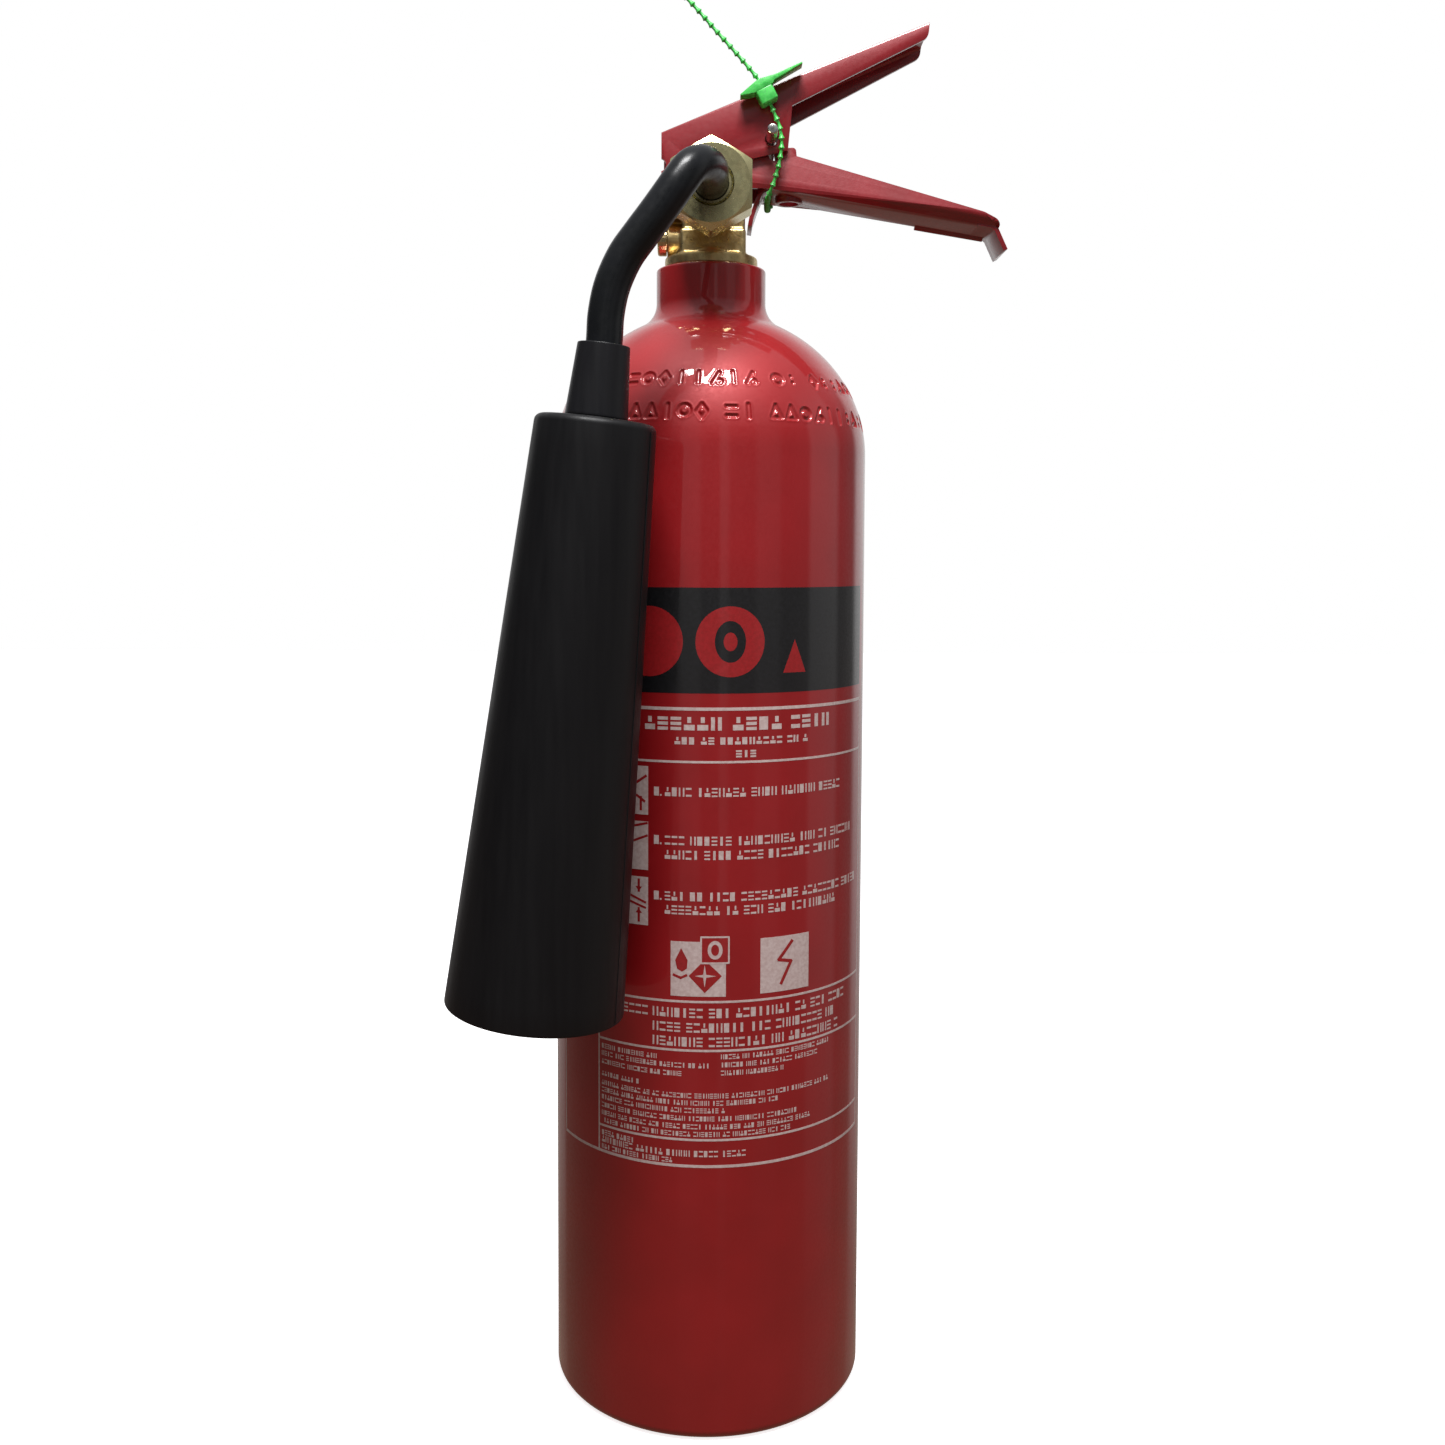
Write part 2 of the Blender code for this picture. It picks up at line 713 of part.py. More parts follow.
# Levers.
def lever_plan(name, inset):
    """A tall block with the lever's outline from above, which narrows towards the tip."""
    start, end = LEVER_TAPER_X
    wide = LEVER_HALF_Y - inset
    narrow = LEVER_TIP_HALF_Y - inset
    side = [(-0.03, wide), (start, wide), (end, narrow), (0.09, narrow)]
    outline = side + [(x, -y) for x, y in side[::-1]]
    plan = slab(name, outline, 0.2, cutter=True)
    plan.data.transform(Matrix.Translation((0, 0, OUTLET_Z)))
    return plan


def bevel_long_edges(obj, low, high, radius, steps=2):
    """Rounds the bends of a channel: the side edges between two heights of a line in XZ."""
    bm = bmesh.new()
    bm.from_mesh(obj.data)
    start = Vector((low[0], low[1]))
    along = (Vector((high[0], high[1])) - start).normalized()
    chosen = []
    for edge in bm.edges:
        on_line = edge.calc_face_angle(0) > math.radians(20)
        for vertex in edge.verts:
            offset = Vector((vertex.co.x, vertex.co.z)) - start
            if abs(offset.x * along.y - offset.y * along.x) > 0.00005:
                on_line = False
        if on_line and abs(edge.verts[0].co.y - edge.verts[1].co.y) < 0.004:
            chosen.append(edge)
    bmesh.ops.bevel(
        bm, geom=chosen, offset=radius, segments=steps, profile=0.5, affect="EDGES", clamp_overlap=True
    )
    bm.to_mesh(obj.data)
    bm.free()
    return obj


def make_lever(material):
    rear = Vector((-0.0183, 0.4690))
    tip = Vector((0.0795, 0.5096))
    slope = (tip.y - rear.y) / (tip.x - rear.x)
    outline = rounded(
        [
            (*rear, 0),
            (*tip, 0),
            (0.0790, 0.5040, 0.0034),
            (0.0294, 0.4788, 0),
            (0.0279, 0.4627, 0.0008),
            (0.0149, 0.4596, 0.0020),
            (-0.0060, 0.4588, 0.0010),
            (-0.0074, 0.4494, 0.0046),
            (-0.0183, 0.4494, 0.0046),
        ]
    )
    shell = plate("squeeze_lever", outline, LEVER_HALF_Y + 0.01, material)
    combine(shell, lever_plan("outer_plan", 0), "INTERSECT")
    bevel_long_edges(shell, rear, tip, 0.0022)
    drop = Vector((0, SHEET * math.sqrt(1 + slope * slope)))
    back = rear - (tip - rear) * 0.2 - drop
    front = tip + (tip - rear) * 0.2 - drop
    inner = [tuple(back), tuple(front), (front.x, 0.42), (back.x, 0.42)]
    hollow = plate("lever_hollow", inner, LEVER_HALF_Y + 0.01, cutter=True)
    combine(hollow, lever_plan("inner_plan", SHEET), "INTERSECT")
    bevel_long_edges(hollow, back, front, 0.0008, 1)
    cut(shell, hollow)
    cut(shell, cross_hole("pivot_hole", PIVOT, PIVOT_R + GAP))
    cut(shell, cross_hole("pin_hole", SAFETY_PIN, SAFETY_PIN_R + 0.0005))
    cut(shell, cross_hole("notch", Vector((-0.0190, 0, 0.4572)), 0.0024))
    return smooth(shell, 30)


def web_z(x):
    share = (x - WEB_REAR.x) / (WEB_FRONT.x - WEB_REAR.x)
    return WEB_REAR.z + (WEB_FRONT.z - WEB_REAR.z) * share


def make_handle(material):
    rear_z = 0.4496
    outline = rounded(
        [
            (-0.0173, rear_z, 0.0044),
            (-0.0173, 0.4606, 0.0040),
            (0.0130, 0.4640, 0.0020),
            (0.0160, 0.4718, 0.0040),
            (0.0272, 0.4718, 0.0040),
            (0.0274, 0.4640, 0.0003),
            (0.0309, 0.4642, 0.0013),
            (0.0312, 0.4611, 0.0003),
            (0.1005, 0.4415, 0.0080),
            (0.1062, 0.4385, 0.0030),
            (0.1062, web_z(0.1062), 0),
            (WEB_REAR.x, WEB_REAR.z, 0),
            (0.0170, rear_z, 0.0010),
        ]
    )
    shell = plate("carry_handle", outline, HANDLE_HALF_Y, material)
    bevel_long_edges(shell, (WEB_REAR.x, WEB_REAR.z), (0.1062, web_z(0.1062)), HANDLE_BEND, 3)
    inner = [
        (WEB_REAR.x, 0.43),
        (WEB_REAR.x, web_z(WEB_REAR.x) + SHEET),
        (0.13, web_z(0.13) + SHEET),
        (0.13, 0.50),
        (-0.04, 0.50),
        (-0.04, 0.43),
    ]
    hollow = plate("handle_hollow", inner, HANDLE_HALF_Y - SHEET, cutter=True)
    bevel_long_edges(hollow, inner[1], inner[2], HANDLE_BEND - SHEET, 2)
    cut(shell, hollow)
    union(shell, handle_lip(), handle_tongue(), handle_bead(), web_collar())
    cut(shell, web_hole())
    cut(shell, cross_hole("outlet_arch", Vector((0, 0, OUTLET_Z)), OUTLET_R + 0.0005))
    cut(shell, cross_hole("pivot_hole", PIVOT, PIVOT_R + GAP))
    cut(shell, cross_hole("roll_pin_hole", HANDLE_PIN, HANDLE_PIN_R + GAP))
    cut(shell, pin_slot())
    return smooth(shell, 30)


def handle_lip():
    """The web's front end, bent down."""
    middle = SHEET / 2
    path = [
        (WEB_FRONT.x - 0.006, web_z(WEB_FRONT.x - 0.006) + middle),
        (WEB_FRONT.x - 0.0012, web_z(WEB_FRONT.x - 0.0012) + middle),
        (WEB_FRONT.x + 0.0008, WEB_FRONT.z - 0.0004),
        (LIP_TIP.x - 0.0005, LIP_TIP.z),
    ]
    return plate("lip", strip_outline(path, SHEET), HANDLE_HALF_Y - 0.0018, cutter=True)


def handle_tongue():
    """The web's rear end, bent down against the valve block."""
    face = BLOCK_X[1] + GAP + SHEET / 2
    path = [
        (WEB_REAR.x + 0.0060, web_z(WEB_REAR.x + 0.0060) + SHEET / 2),
        (WEB_REAR.x + 0.0015, web_z(WEB_REAR.x + 0.0015) + SHEET / 2),
        (WEB_REAR.x - 0.0012, 0.4490),
        (WEB_REAR.x - 0.0028, 0.4453),
        (face + 0.0010, 0.4400),
        (face + 0.0004, 0.4368),
    ]
    return plate("tongue", strip_outline(path, SHEET), 0.0085, cutter=True)


def handle_bead():
    """A turned edge under the far side of the grip."""
    start_x = 0.0775
    end_x = WEB_FRONT.x - 0.0010
    y = HANDLE_HALF_Y - HANDLE_BEND
    return rod(
        "bead", (start_x, y, web_z(start_x)), (end_x, y, web_z(end_x)), 0.0013, cutter=True, segments=12
    )


def web_collar():
    x = 0.0290
    return rod("collar", (x, 0, web_z(x) + 0.0008), (x, 0, web_z(x) - 0.0018), 0.0052, cutter=True)


def web_hole():
    x = 0.0290
    return rod("web_hole", (x, 0, web_z(x) + 0.004), (x, 0, web_z(x) - 0.004), 0.0036, cutter=True)


def pin_slot():
    """The slot that the safety pin sweeps when the lever turns about its pivot."""
    offset = SAFETY_PIN - PIVOT
    radius = SAFETY_PIN_R + 0.0004
    steps = 5
    middle = offset.length
    start = math.degrees(math.atan2(offset.z, offset.x))
    sweep = math.degrees(SQUEEZE)
    centre = (PIVOT.x, PIVOT.z)
    outer = arc(centre, middle + radius, start, start - sweep, steps)
    inner = arc(centre, middle - radius, start - sweep, start, steps)
    end_x = PIVOT.x + middle * math.cos(math.radians(start - sweep))
    end_z = PIVOT.z + middle * math.sin(math.radians(start - sweep))
    low_cap = arc((end_x, end_z), radius, start - sweep, start - sweep - 180, 6)
    high_cap = arc((SAFETY_PIN.x, SAFETY_PIN.z), radius, start + 180, start, 6)
    outline = outer + low_cap[1:-1] + inner + high_cap[1:-1]
    return plate("pin_slot", outline, 0.03, cutter=True)


def make_lever_rivet(material):
    head_in = LEVER_HALF_Y + GAP
    head_out = head_in + 0.0015
    outline = [(0, head_out), (0.0026, head_out), (0.0040, head_in + 0.0005), (0.0040, head_in)]
    outline += [(PIVOT_R, head_in), (PIVOT_R, -head_in), (0.0040, -head_in)]
    outline += [(0.0040, -head_in - 0.0005), (0.0026, -head_out), (0, -head_out)]
    rivet = turned("lever_rivet", outline, material)
    return smooth(point_along(rivet, (0, 1, 0), PIVOT))


def make_handle_pin(material):
    reach = Vector((0, HANDLE_HALF_Y - 0.0002, 0))
    return smooth(rod("handle_pin", HANDLE_PIN - reach, HANDLE_PIN + reach, HANDLE_PIN_R, material))


def make_safety_pin(material):
    near, far = SAFETY_PIN_Y
    radius = SAFETY_PIN_R
    eye = 0.0031
    outline = [(0, RING_Y + eye), (0.0018, RING_Y + eye), (eye, RING_Y + 0.0016)]
    outline += [(eye, RING_Y - 0.0016), (radius, far), (radius, near + 0.0005)]
    outline += [(radius - 0.0005, near), (0, near)]
    pin = as_mesh(turned("safety_pin", outline, material, segments=20))
    pin.data.transform(Vector((0, 1, 0)).to_track_quat("Z", "Y").to_matrix().to_4x4())
    pin.data.transform(Matrix.Translation(SAFETY_PIN))
    side = Vector((0, 0, 0.01))
    place = SAFETY_PIN + Vector((0, RING_Y, 0))
    return smooth(cut(pin, rod("eye", place - side, place + side, RING_WIRE_R + 0.0006, cutter=True)))


def make_pull_ring(material):
    centre = SAFETY_PIN + Vector((0.0002 - RING_R, RING_Y, 0))
    return ring("pull_ring", centre, (0, 1, 0), RING_R, RING_WIRE_R, material, 40)


# Tamper seal.
def strap_route():
    """Middle line of the strap: root, over the lever, under the handle, lock, tail."""
    stations = [
        Vector((0.0190, -0.0168, 0.4858)),
        Vector((0.0192, -0.0145, 0.4865)),
        Vector((0.0200, 0.0000, 0.4868)),
        Vector((0.0210, 0.0140, 0.4868)),
        Vector((0.0226, 0.0166, 0.4840)),
        Vector((0.0252, 0.0170, 0.4760)),
        Vector((0.0262, 0.0168, 0.4670)),
        Vector((0.0250, 0.0166, 0.4570)),
        Vector((0.0234, 0.0158, 0.4510)),
        Vector((0.0215, 0.0114, 0.4470)),
        Vector((0.0208, 0.0000, 0.4460)),
        Vector((0.0208, -0.0112, 0.4461)),
        Vector((0.0213, -0.0151, 0.4473)),
        Vector((0.0224, -0.0163, 0.4498)),
        Vector((0.0236, -0.0164, 0.4536)),
        Vector((0.0248, -0.0166, 0.4585)),
        Vector((0.0255, -0.0167, 0.4650)),
        Vector((0.0246, -0.0172, 0.4704)),
        Vector((0.0228, -0.0178, 0.4745)),
        Vector((0.0213, -0.0181, 0.4780)),
        Vector((0.0172, -0.0182, 0.4859)),
        Vector((0.0110, -0.0188, 0.4932)),
        Vector((0.0020, -0.0186, 0.5030)),
        Vector((-0.0070, -0.0180, 0.5130)),
        Vector((-0.0150, -0.0174, 0.5210)),
    ]
    return smooth_route(stations, 3)


def evenly(points, spacing):
    """Points the same distance apart along a route."""
    made = [points[0]]
    left = spacing
    for start, end in zip(points, points[1:]):
        length = (end - start).length
        place = left
        while place < length:
            made.append(start.lerp(end, place / length))
            place += spacing
        left = place - length
    return made


def make_tamper_seal(material):
    """A one-piece plastic seal: a flag with a lock block, and a beaded strap through it."""
    along = Vector((math.cos(SEAL_TILT), 0, math.sin(SEAL_TILT)))
    up = Vector((-math.sin(SEAL_TILT), 0, math.cos(SEAL_TILT)))
    flag = [(-0.0086, 0.0015), (-0.0036, 0), (0.0036, 0), (0.0046, 0.0009), (0.0164, 0.0014)]
    flag += [(0.0164, 0.0021), (0.0060, 0.0026), (0.0010, 0.0037), (-0.0012, 0.0037)]
    flag += [(-0.0086, 0.0020)]
    outline = [SEAL_CENTRE + along * x + up * z for x, z in flag]
    seal = plate("tamper_seal", [(p.x, p.z) for p in outline], 0.0030, material)
    seal.data.transform(Matrix.Translation((0, SEAL_CENTRE.y, 0)))
    block = box("block", (-0.0034, -0.0029, -0.0053), (0.0034, 0.0029, 0.0005), cutter=True, bevel=0.0009)
    block.data.transform(Matrix.Rotation(-SEAL_TILT, 4, "Y"))
    block.data.transform(Matrix.Translation(SEAL_CENTRE))
    union(seal, block)
    route = strap_route()
    lock = rod("lock_hole", SEAL_CENTRE - up * 0.008, SEAL_CENTRE + up * 0.006, 0.0016, cutter=True)
    cut(seal, lock)
    points = evenly(route, SEAL_BEAD_PITCH / 3)
    strap = wire("strap", points, SEAL_STRAP_R, None, resolution=1)
    pattern = (1, 1, SEAL_BEAD_R / SEAL_STRAP_R)
    for index, point in enumerate(strap.data.splines[0].points):
        point.radius = pattern[index % 3]
    return smooth(union(seal, as_mesh(strap)))


def make_materials():
    return {
        "red": new_material("red_gloss_paint", (0.42, 0.012, 0.016), 0.18),
        "lever_red": new_material("red_satin_paint", (0.27, 0.012, 0.018), 0.38),
        "brass": new_material("cast_brass", (0.62, 0.47, 0.22), 0.38, 1),
        "zinc": new_material("yellow_zinc_plate", (0.72, 0.67, 0.34), 0.28, 1),
        "steel": new_material("plated_steel", (0.62, 0.62, 0.60), 0.3, 1),
        "copper": new_material("copper", (0.70, 0.32, 0.16), 0.3, 1),
        "black_metal": new_material("black_satin_paint", (0.014, 0.015, 0.018), 0.35),
        "black_plastic": new_material("black_moulded_plastic", (0.010, 0.010, 0.012), 0.5),
        "rubber": new_material("black_rubber", (0.012, 0.012, 0.012), 0.6),
        "nylon": new_material("white_nylon", (0.75, 0.74, 0.68), 0.5),
        "green": new_material("green_plastic", (0.05, 0.42, 0.08), 0.35),
        "aluminium": new_material("plain_aluminium", (0.72, 0.73, 0.74), 0.4, 1),
    }


def main():
    global parts, cutters
    clear_scene()
    parts = new_collection("fire_extinguisher")
    cutters = new_collection("cutters")
    mat = make_materials()

    make_cylinder(mat["red"])
    make_neck_seal(mat["rubber"])
    make_valve_body(mat["brass"])
    make_gland(mat["brass"].copy())
    make_stem_seal(mat["rubber"].copy())
    make_spring(mat["steel"])
    make_retainer(mat["brass"].copy())
    make_dip_tube(mat["aluminium"])
    make_burst_parts(mat["copper"], mat["steel"].copy(), mat["brass"].copy())
    make_nut(mat["zinc"])
    make_swivel_seal(mat["nylon"])
    make_handle(mat["lever_red"])
    make_lever_rivet(mat["steel"].copy())
    make_handle_pin(mat["steel"].copy())

    stem = [make_stem(mat["steel"].copy()), make_poppet(mat["nylon"].copy())]
    attach("stem_axis", (0, 0, SEAT_Z), stem)

    swivel = [
        make_ferrule(mat["zinc"].copy()),
        make_discharge_tube(mat["black_metal"]),
        make_collar(mat["black_plastic"].copy()),
        make_jet(mat["brass"].copy()),
        make_horn(mat["black_plastic"]),
    ]
    attach("swivel_axis", (0, NUT_Y[0], OUTLET_Z), swivel)

    lever = [make_lever(mat["lever_red"].copy()), make_tamper_seal(mat["green"])]
    pivot = attach("lever_pivot", PIVOT, lever)
    pin_axis = attach("pin_axis", SAFETY_PIN, [make_safety_pin(mat["steel"].copy())])
    ring_axis = attach(
        "ring_axis", SAFETY_PIN + Vector((0, RING_Y, 0)), [make_pull_ring(mat["steel"].copy())]
    )
    bpy.context.view_layer.update()
    for child, parent in ((pin_axis, pivot), (ring_axis, pin_axis)):
        child.parent = parent
        child.matrix_parent_inverse = parent.matrix_world.inverted()
        bpy.context.view_layer.update()


main()
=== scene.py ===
"""Looks for a carbon dioxide fire extinguisher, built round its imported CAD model.

Metres, +Z up. The origin is the middle of the cylinder's flat base. +X points along the
carry handle, and the discharge horn hangs on the -Y side.
"""

import math
import random

import bmesh
import bpy
import numpy as np
from mathutils import Matrix, Vector


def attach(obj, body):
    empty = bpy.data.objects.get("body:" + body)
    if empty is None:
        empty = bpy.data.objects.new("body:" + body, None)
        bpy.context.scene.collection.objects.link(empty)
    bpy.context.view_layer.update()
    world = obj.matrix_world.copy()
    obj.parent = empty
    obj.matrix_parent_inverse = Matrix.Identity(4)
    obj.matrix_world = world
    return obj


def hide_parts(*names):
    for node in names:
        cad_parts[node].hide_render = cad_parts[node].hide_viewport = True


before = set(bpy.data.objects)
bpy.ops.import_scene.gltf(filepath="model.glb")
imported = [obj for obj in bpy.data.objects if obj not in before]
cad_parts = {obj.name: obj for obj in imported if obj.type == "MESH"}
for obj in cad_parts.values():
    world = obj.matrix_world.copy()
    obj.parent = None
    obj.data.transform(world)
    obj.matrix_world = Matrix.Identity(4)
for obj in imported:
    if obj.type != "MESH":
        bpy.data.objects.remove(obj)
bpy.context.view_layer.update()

MM = 0.001
GAP = 0.0003  # clearance between touching pieces

# Camera.
CAMERA_PLACE = Vector((0.0015, -0.5585, 0.3165))
CAMERA_PITCH = math.radians(3.863)  # down from level
CAMERA_YAW = math.radians(0.346)
CAMERA_ROLL = math.radians(0.244)
CAMERA_LENS = 36.39
CAMERA_SHIFT_Y = -0.0502

# Stage.
FLOOR_HALF = 4
FLOOR_DROP = 0.0002
FLOOR_GLOW_STRENGTH = 0.80  # keeps the floor white out to its far edge
PANEL_PLACE = (-0.02, -0.49, 1.30)
PANEL_TARGET = (0, 0, 0.36)
PANEL_SIZE = (0.44, 0.26)
PANEL_WATTS = 17.0

# Cylinder.
CYLINDER_R = 0.0585
CYLINDER_WALL = 0.0055
BASE_THICKNESS = 0.009
BASE_CORNER = 0.004
DOME_START_Z = 0.352
DOME_RISE = 0.054
NECK_R = 0.0205
NECK_TOP_Z = 0.4217
NECK_FILLET = 0.010
NECK_BORE_R = 0.0121
INNER_CORNER = 0.012
RIM_ROUND = 0.001
SEAL_SEAT_WIDTH = 0.0029
SEAL_SEAT_DEPTH = 0.003
SHELL_SEGMENTS = 192
STAMP_SPLIT = 6  # fine columns of the stamped band in each column of the shell
STAMP_BAND = (math.radians(7.5), math.radians(34.0))  # of the dome's own angle
STAMP_ROWS = ((26.6, -128, 150), (13.2, -120, 142))  # dome angle, first and last compass angle
STAMP_ROW = 0.0003
STAMP_DEPTH = 0.0006
STAMP_STROKE = 0.0009  # half width of a stamped line
STAMP_LIP = 0.00008
STAMP_SPACE_CHANCE = 0.14
STAMP_SPACE = 0.7  # of a pitch
STAMP_WANDER = 0.25  # degrees up or down
STAMP_SEED = 7
STAMP_SIZE = 0.0056
STAMP_PITCH = 0.0060

# Discharge side.
OUTLET_Z = 0.4443
OUTLET_R = 0.0085
NUT_ACROSS_FLATS = 0.0286
NUT_Y = (-0.042, -0.029)
NUT_LIP_R = 0.0075
TUBE_R = 0.006
HORN_TOP = Vector((-0.0371, -0.0783, 0.3592))
HORN_MOUTH = Vector((-0.0585, -0.0745, 0.1630))
HORN_TOP_R = 0.0200
HORN_MOUTH_R = 0.0302
HORN_WALL = 0.0024
HORN_EDGE = 0.0025
HORN_HOLE_R = 0.0064
HORN_STEPS = 24
HORN_LIP_OUT = 0.0008
HORN_LIP_IN = 0.0006
HORN_INNER_ROUND = 0.003
SEAM_R = 0.00022
SEAM_STEPS = 12
SEAM_ANGLES = (258, 78)
COLLAR_HEIGHT = 0.0242
COLLAR_R = (0.0104, 0.0086)

# Pin, ring and seal.
SAFETY_PIN = Vector((0.0218, 0, 0.4665))
SAFETY_PIN_R = 0.0019
SAFETY_PIN_Y = (-0.0285, 0.0205)
PIN_EYE_R = 0.0031
RING_R = 0.012
RING_WIRE_R = 0.0009
RING_Y = 0.0238
SEAL_CENTRE = Vector((0.0188, -0.0181, 0.4828))
SEAL_TILT = math.radians(27.7)
SEAL_STRAP_R = 0.00065
SEAL_BEAD_R = 0.00115
SEAL_BEAD_PITCH = 0.0034
SEAL_TAIL_POINTS = 3

# Label, in millimetres of arc from the front of the cylinder and millimetres of height.
LABEL_X = (-65.8, 73.6)
LABEL_INNER_X = -42.9
LABEL_COLUMN = 2.4
BAND_Z = (267.7, 304.1)
PRINT_LIFT = 0.05
PRINT_DEPTH = 0.06
PRINT_SEED = 11


# Meshes.
def add(name, mesh, material):
    obj = bpy.data.objects.new(name, mesh)
    bpy.context.scene.collection.objects.link(obj)
    mesh.materials.clear()
    mesh.materials.append(material)
    return obj


def mesh_of(name, bm):
    bmesh.ops.recalc_face_normals(bm, faces=bm.faces)
    mesh = bpy.data.meshes.new(name)
    bm.to_mesh(mesh)
    bm.free()
    return mesh


def smooth(obj, angle=35):
    obj.data.shade_smooth()
    obj.data.set_sharp_from_angle(angle=math.radians(angle))
    return obj


def arc(centre, radius, start, end, steps):
    points = []
    for index in range(steps + 1):
        angle = math.radians(start + (end - start) * index / steps)
        points.append(
            (centre[0] + radius * math.cos(angle), centre[1] + radius * math.sin(angle))
        )
    return points


def ring_of(bm, radius, height, segments):
    if radius < 1e-7:
        return [bm.verts.new((0, 0, height))]
    made = []
    for index in range(segments):
        angle = 2 * math.pi * index / segments
        made.append(bm.verts.new((radius * math.cos(angle), radius * math.sin(angle), height)))
    return made


def join_rings(bm, first, second):
    """Faces between two rings, where one may be a single point or a whole number of times finer."""
    if len(first) < len(second):
        first, second = second, first
    if len(second) == 1:
        if len(first) > 1:
            for index in range(len(first)):
                bm.faces.new((first[index - 1], first[index], second[0]))
        return
    split = len(first) // len(second)
    for index in range(len(second)):
        after = (index + 1) % len(second)
        edge = [first[(index * split + step) % len(first)] for step in range(split + 1)]
        bm.faces.new([second[index], *edge, second[after]])


def lathe(name, outline, material, segments=64, closed=False):
    """A solid turned about Z from (radius, height) points."""
    bm = bmesh.new()
    rings = [ring_of(bm, radius, height, segments) for radius, height in outline]
    pairs = list(zip(rings, rings[1:]))
    if closed:
        pairs.append((rings[-1], rings[0]))
    for first, second in pairs:
        join_rings(bm, first, second)
    return smooth(add(name, mesh_of(name, bm), material))


def aim(obj, direction, origin):
    """Turns a mesh's own Z onto a direction and moves it to the origin given."""
    turn = Vector(direction).to_track_quat("Z", "Y").to_matrix().to_4x4()
    obj.data.transform(Matrix.Translation(origin) @ turn)
    return obj


def smooth_route(points, steps):
    """Points on a Catmull-Rom curve through the given ones."""
    padded = [points[0] * 2 - points[1], *points, points[-1] * 2 - points[-2]]
    route = []
    for index in range(len(points) - 1):
        a, b, c, d = padded[index : index + 4]
        for step in range(steps):
            t = step / steps
            bend = (a * 2 - b * 5 + c * 4 - d) * t * t + (b * 3 - a - c * 3 + d) * t * t * t
            route.append((b * 2 + (c - a) * t + bend) * 0.5)
    route.append(points[-1])
    return route


def evenly(points, spacing):
    made = [points[0]]
    left = spacing
    for start, end in zip(points, points[1:]):
        length = (end - start).length
        place = left
        while place < length:
            made.append(start.lerp(end, place / length))
            place += spacing
        left = place - length
    return made


def sweep(name, points, radii, material, sides=16):
    """A round bar along points, with its own radius at each, capped at both ends."""
    bm = bmesh.new()
    rings = []
    side = (points[1] - points[0]).orthogonal().normalized()
    for index, point in enumerate(points):
        ahead = points[min(index + 1, len(points) - 1)]
        behind = points[max(index - 1, 0)]
        along = (ahead - behind).normalized()
        side = (side - along * side.dot(along)).normalized()
        other = along.cross(side)
        ring = []
        for step in range(sides):
            angle = 2 * math.pi * step / sides
            spoke = side * math.cos(angle) + other * math.sin(angle)
            ring.append(bm.verts.new(point + spoke * radii[index]))
        rings.append(ring)
    for first, second in zip(rings, rings[1:]):
        join_rings(bm, first, second)
    bm.faces.new(rings[0])
    bm.faces.new(rings[-1])
    return smooth(add(name, mesh_of(name, bm), material), 50)


def prism_mesh(name, outline, low, high, material, bevel=0.0, steps=2):
    """A flat outline in XY between two heights, with its edges rounded."""
    bm = bmesh.new()
    prism(bm, outline, low, high)
    if bevel:
        bmesh.ops.recalc_face_normals(bm, faces=bm.faces)
        bmesh.ops.bevel(
            bm, geom=bm.edges[:], offset=bevel, segments=steps, profile=0.5, affect="EDGES"
        )
    return smooth(add(name, mesh_of(name, bm), material))


def prism(bm, outline, low, high):
    bottom = [bm.verts.new((x, y, low)) for x, y in outline]
    top = [bm.verts.new((x, y, high)) for x, y in outline]
    bm.faces.new(top)
    bm.faces.new(bottom[::-1])
    for index in range(len(outline)):
        bm.faces.new((bottom[index - 1], bottom[index], top[index], top[index - 1]))


def apply_modifiers(obj):
    bpy.context.view_layer.update()
    graph = bpy.context.evaluated_depsgraph_get()
    mesh = bpy.data.meshes.new_from_object(obj.evaluated_get(graph))
    obj.modifiers.clear()
    obj.data = mesh
    return obj


def boolean(obj, other, operation):
    modifier = obj.modifiers.new(operation.lower(), "BOOLEAN")
    modifier.operation = operation
    modifier.solver = "EXACT"
    modifier.object = other
    apply_modifiers(obj)
    bpy.data.objects.remove(other, do_unlink=True)
    return obj


def copy_of(node, name, material):
    """A new object with a CAD node's own shape, its split points joined again."""
    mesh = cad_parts[node].data.copy()
    obj = add(name, mesh, material)
    bm = bmesh.new()
    bm.from_mesh(mesh)
    bmesh.ops.remove_doubles(bm, verts=bm.verts, dist=0.000002)
    for edge in bm.edges:
        edge.smooth = True
    bm.to_mesh(mesh)
    bm.free()
    return obj


def softened(node, name, material, width):
    """A CAD node's shape with its flat faces joined up and its edges rounded."""
    obj = copy_of(node, name, material)
    bm = bmesh.new()
    bm.from_mesh(obj.data)
    bmesh.ops.dissolve_limit(
        bm, angle_limit=math.radians(0.6), verts=bm.verts, edges=bm.edges, delimit=set()
    )
    bm.to_mesh(obj.data)
    bm.free()
    modifier = obj.modifiers.new("edges", "BEVEL")
    modifier.width = width
    modifier.segments = 2
    modifier.limit_method = "ANGLE"
    modifier.angle_limit = math.radians(32)
    modifier.use_clamp_overlap = True
    modifier.harden_normals = False
    return smooth(apply_modifiers(obj), 32)


def cast(node, name, material, voxel, rounds):
    """A CAD node's shape with the rounded edges of a casting."""
    obj = copy_of(node, name, material)
    remesh = obj.modifiers.new("voxels", "REMESH")
    remesh.mode = "VOXEL"
    remesh.voxel_size = voxel
    relax = obj.modifiers.new("relax", "SMOOTH")
    relax.factor = 0.6
    relax.iterations = rounds
    apply_modifiers(obj)
    obj.data.materials.clear()
    obj.data.materials.append(material)
    obj.data.shade_smooth()
    return obj


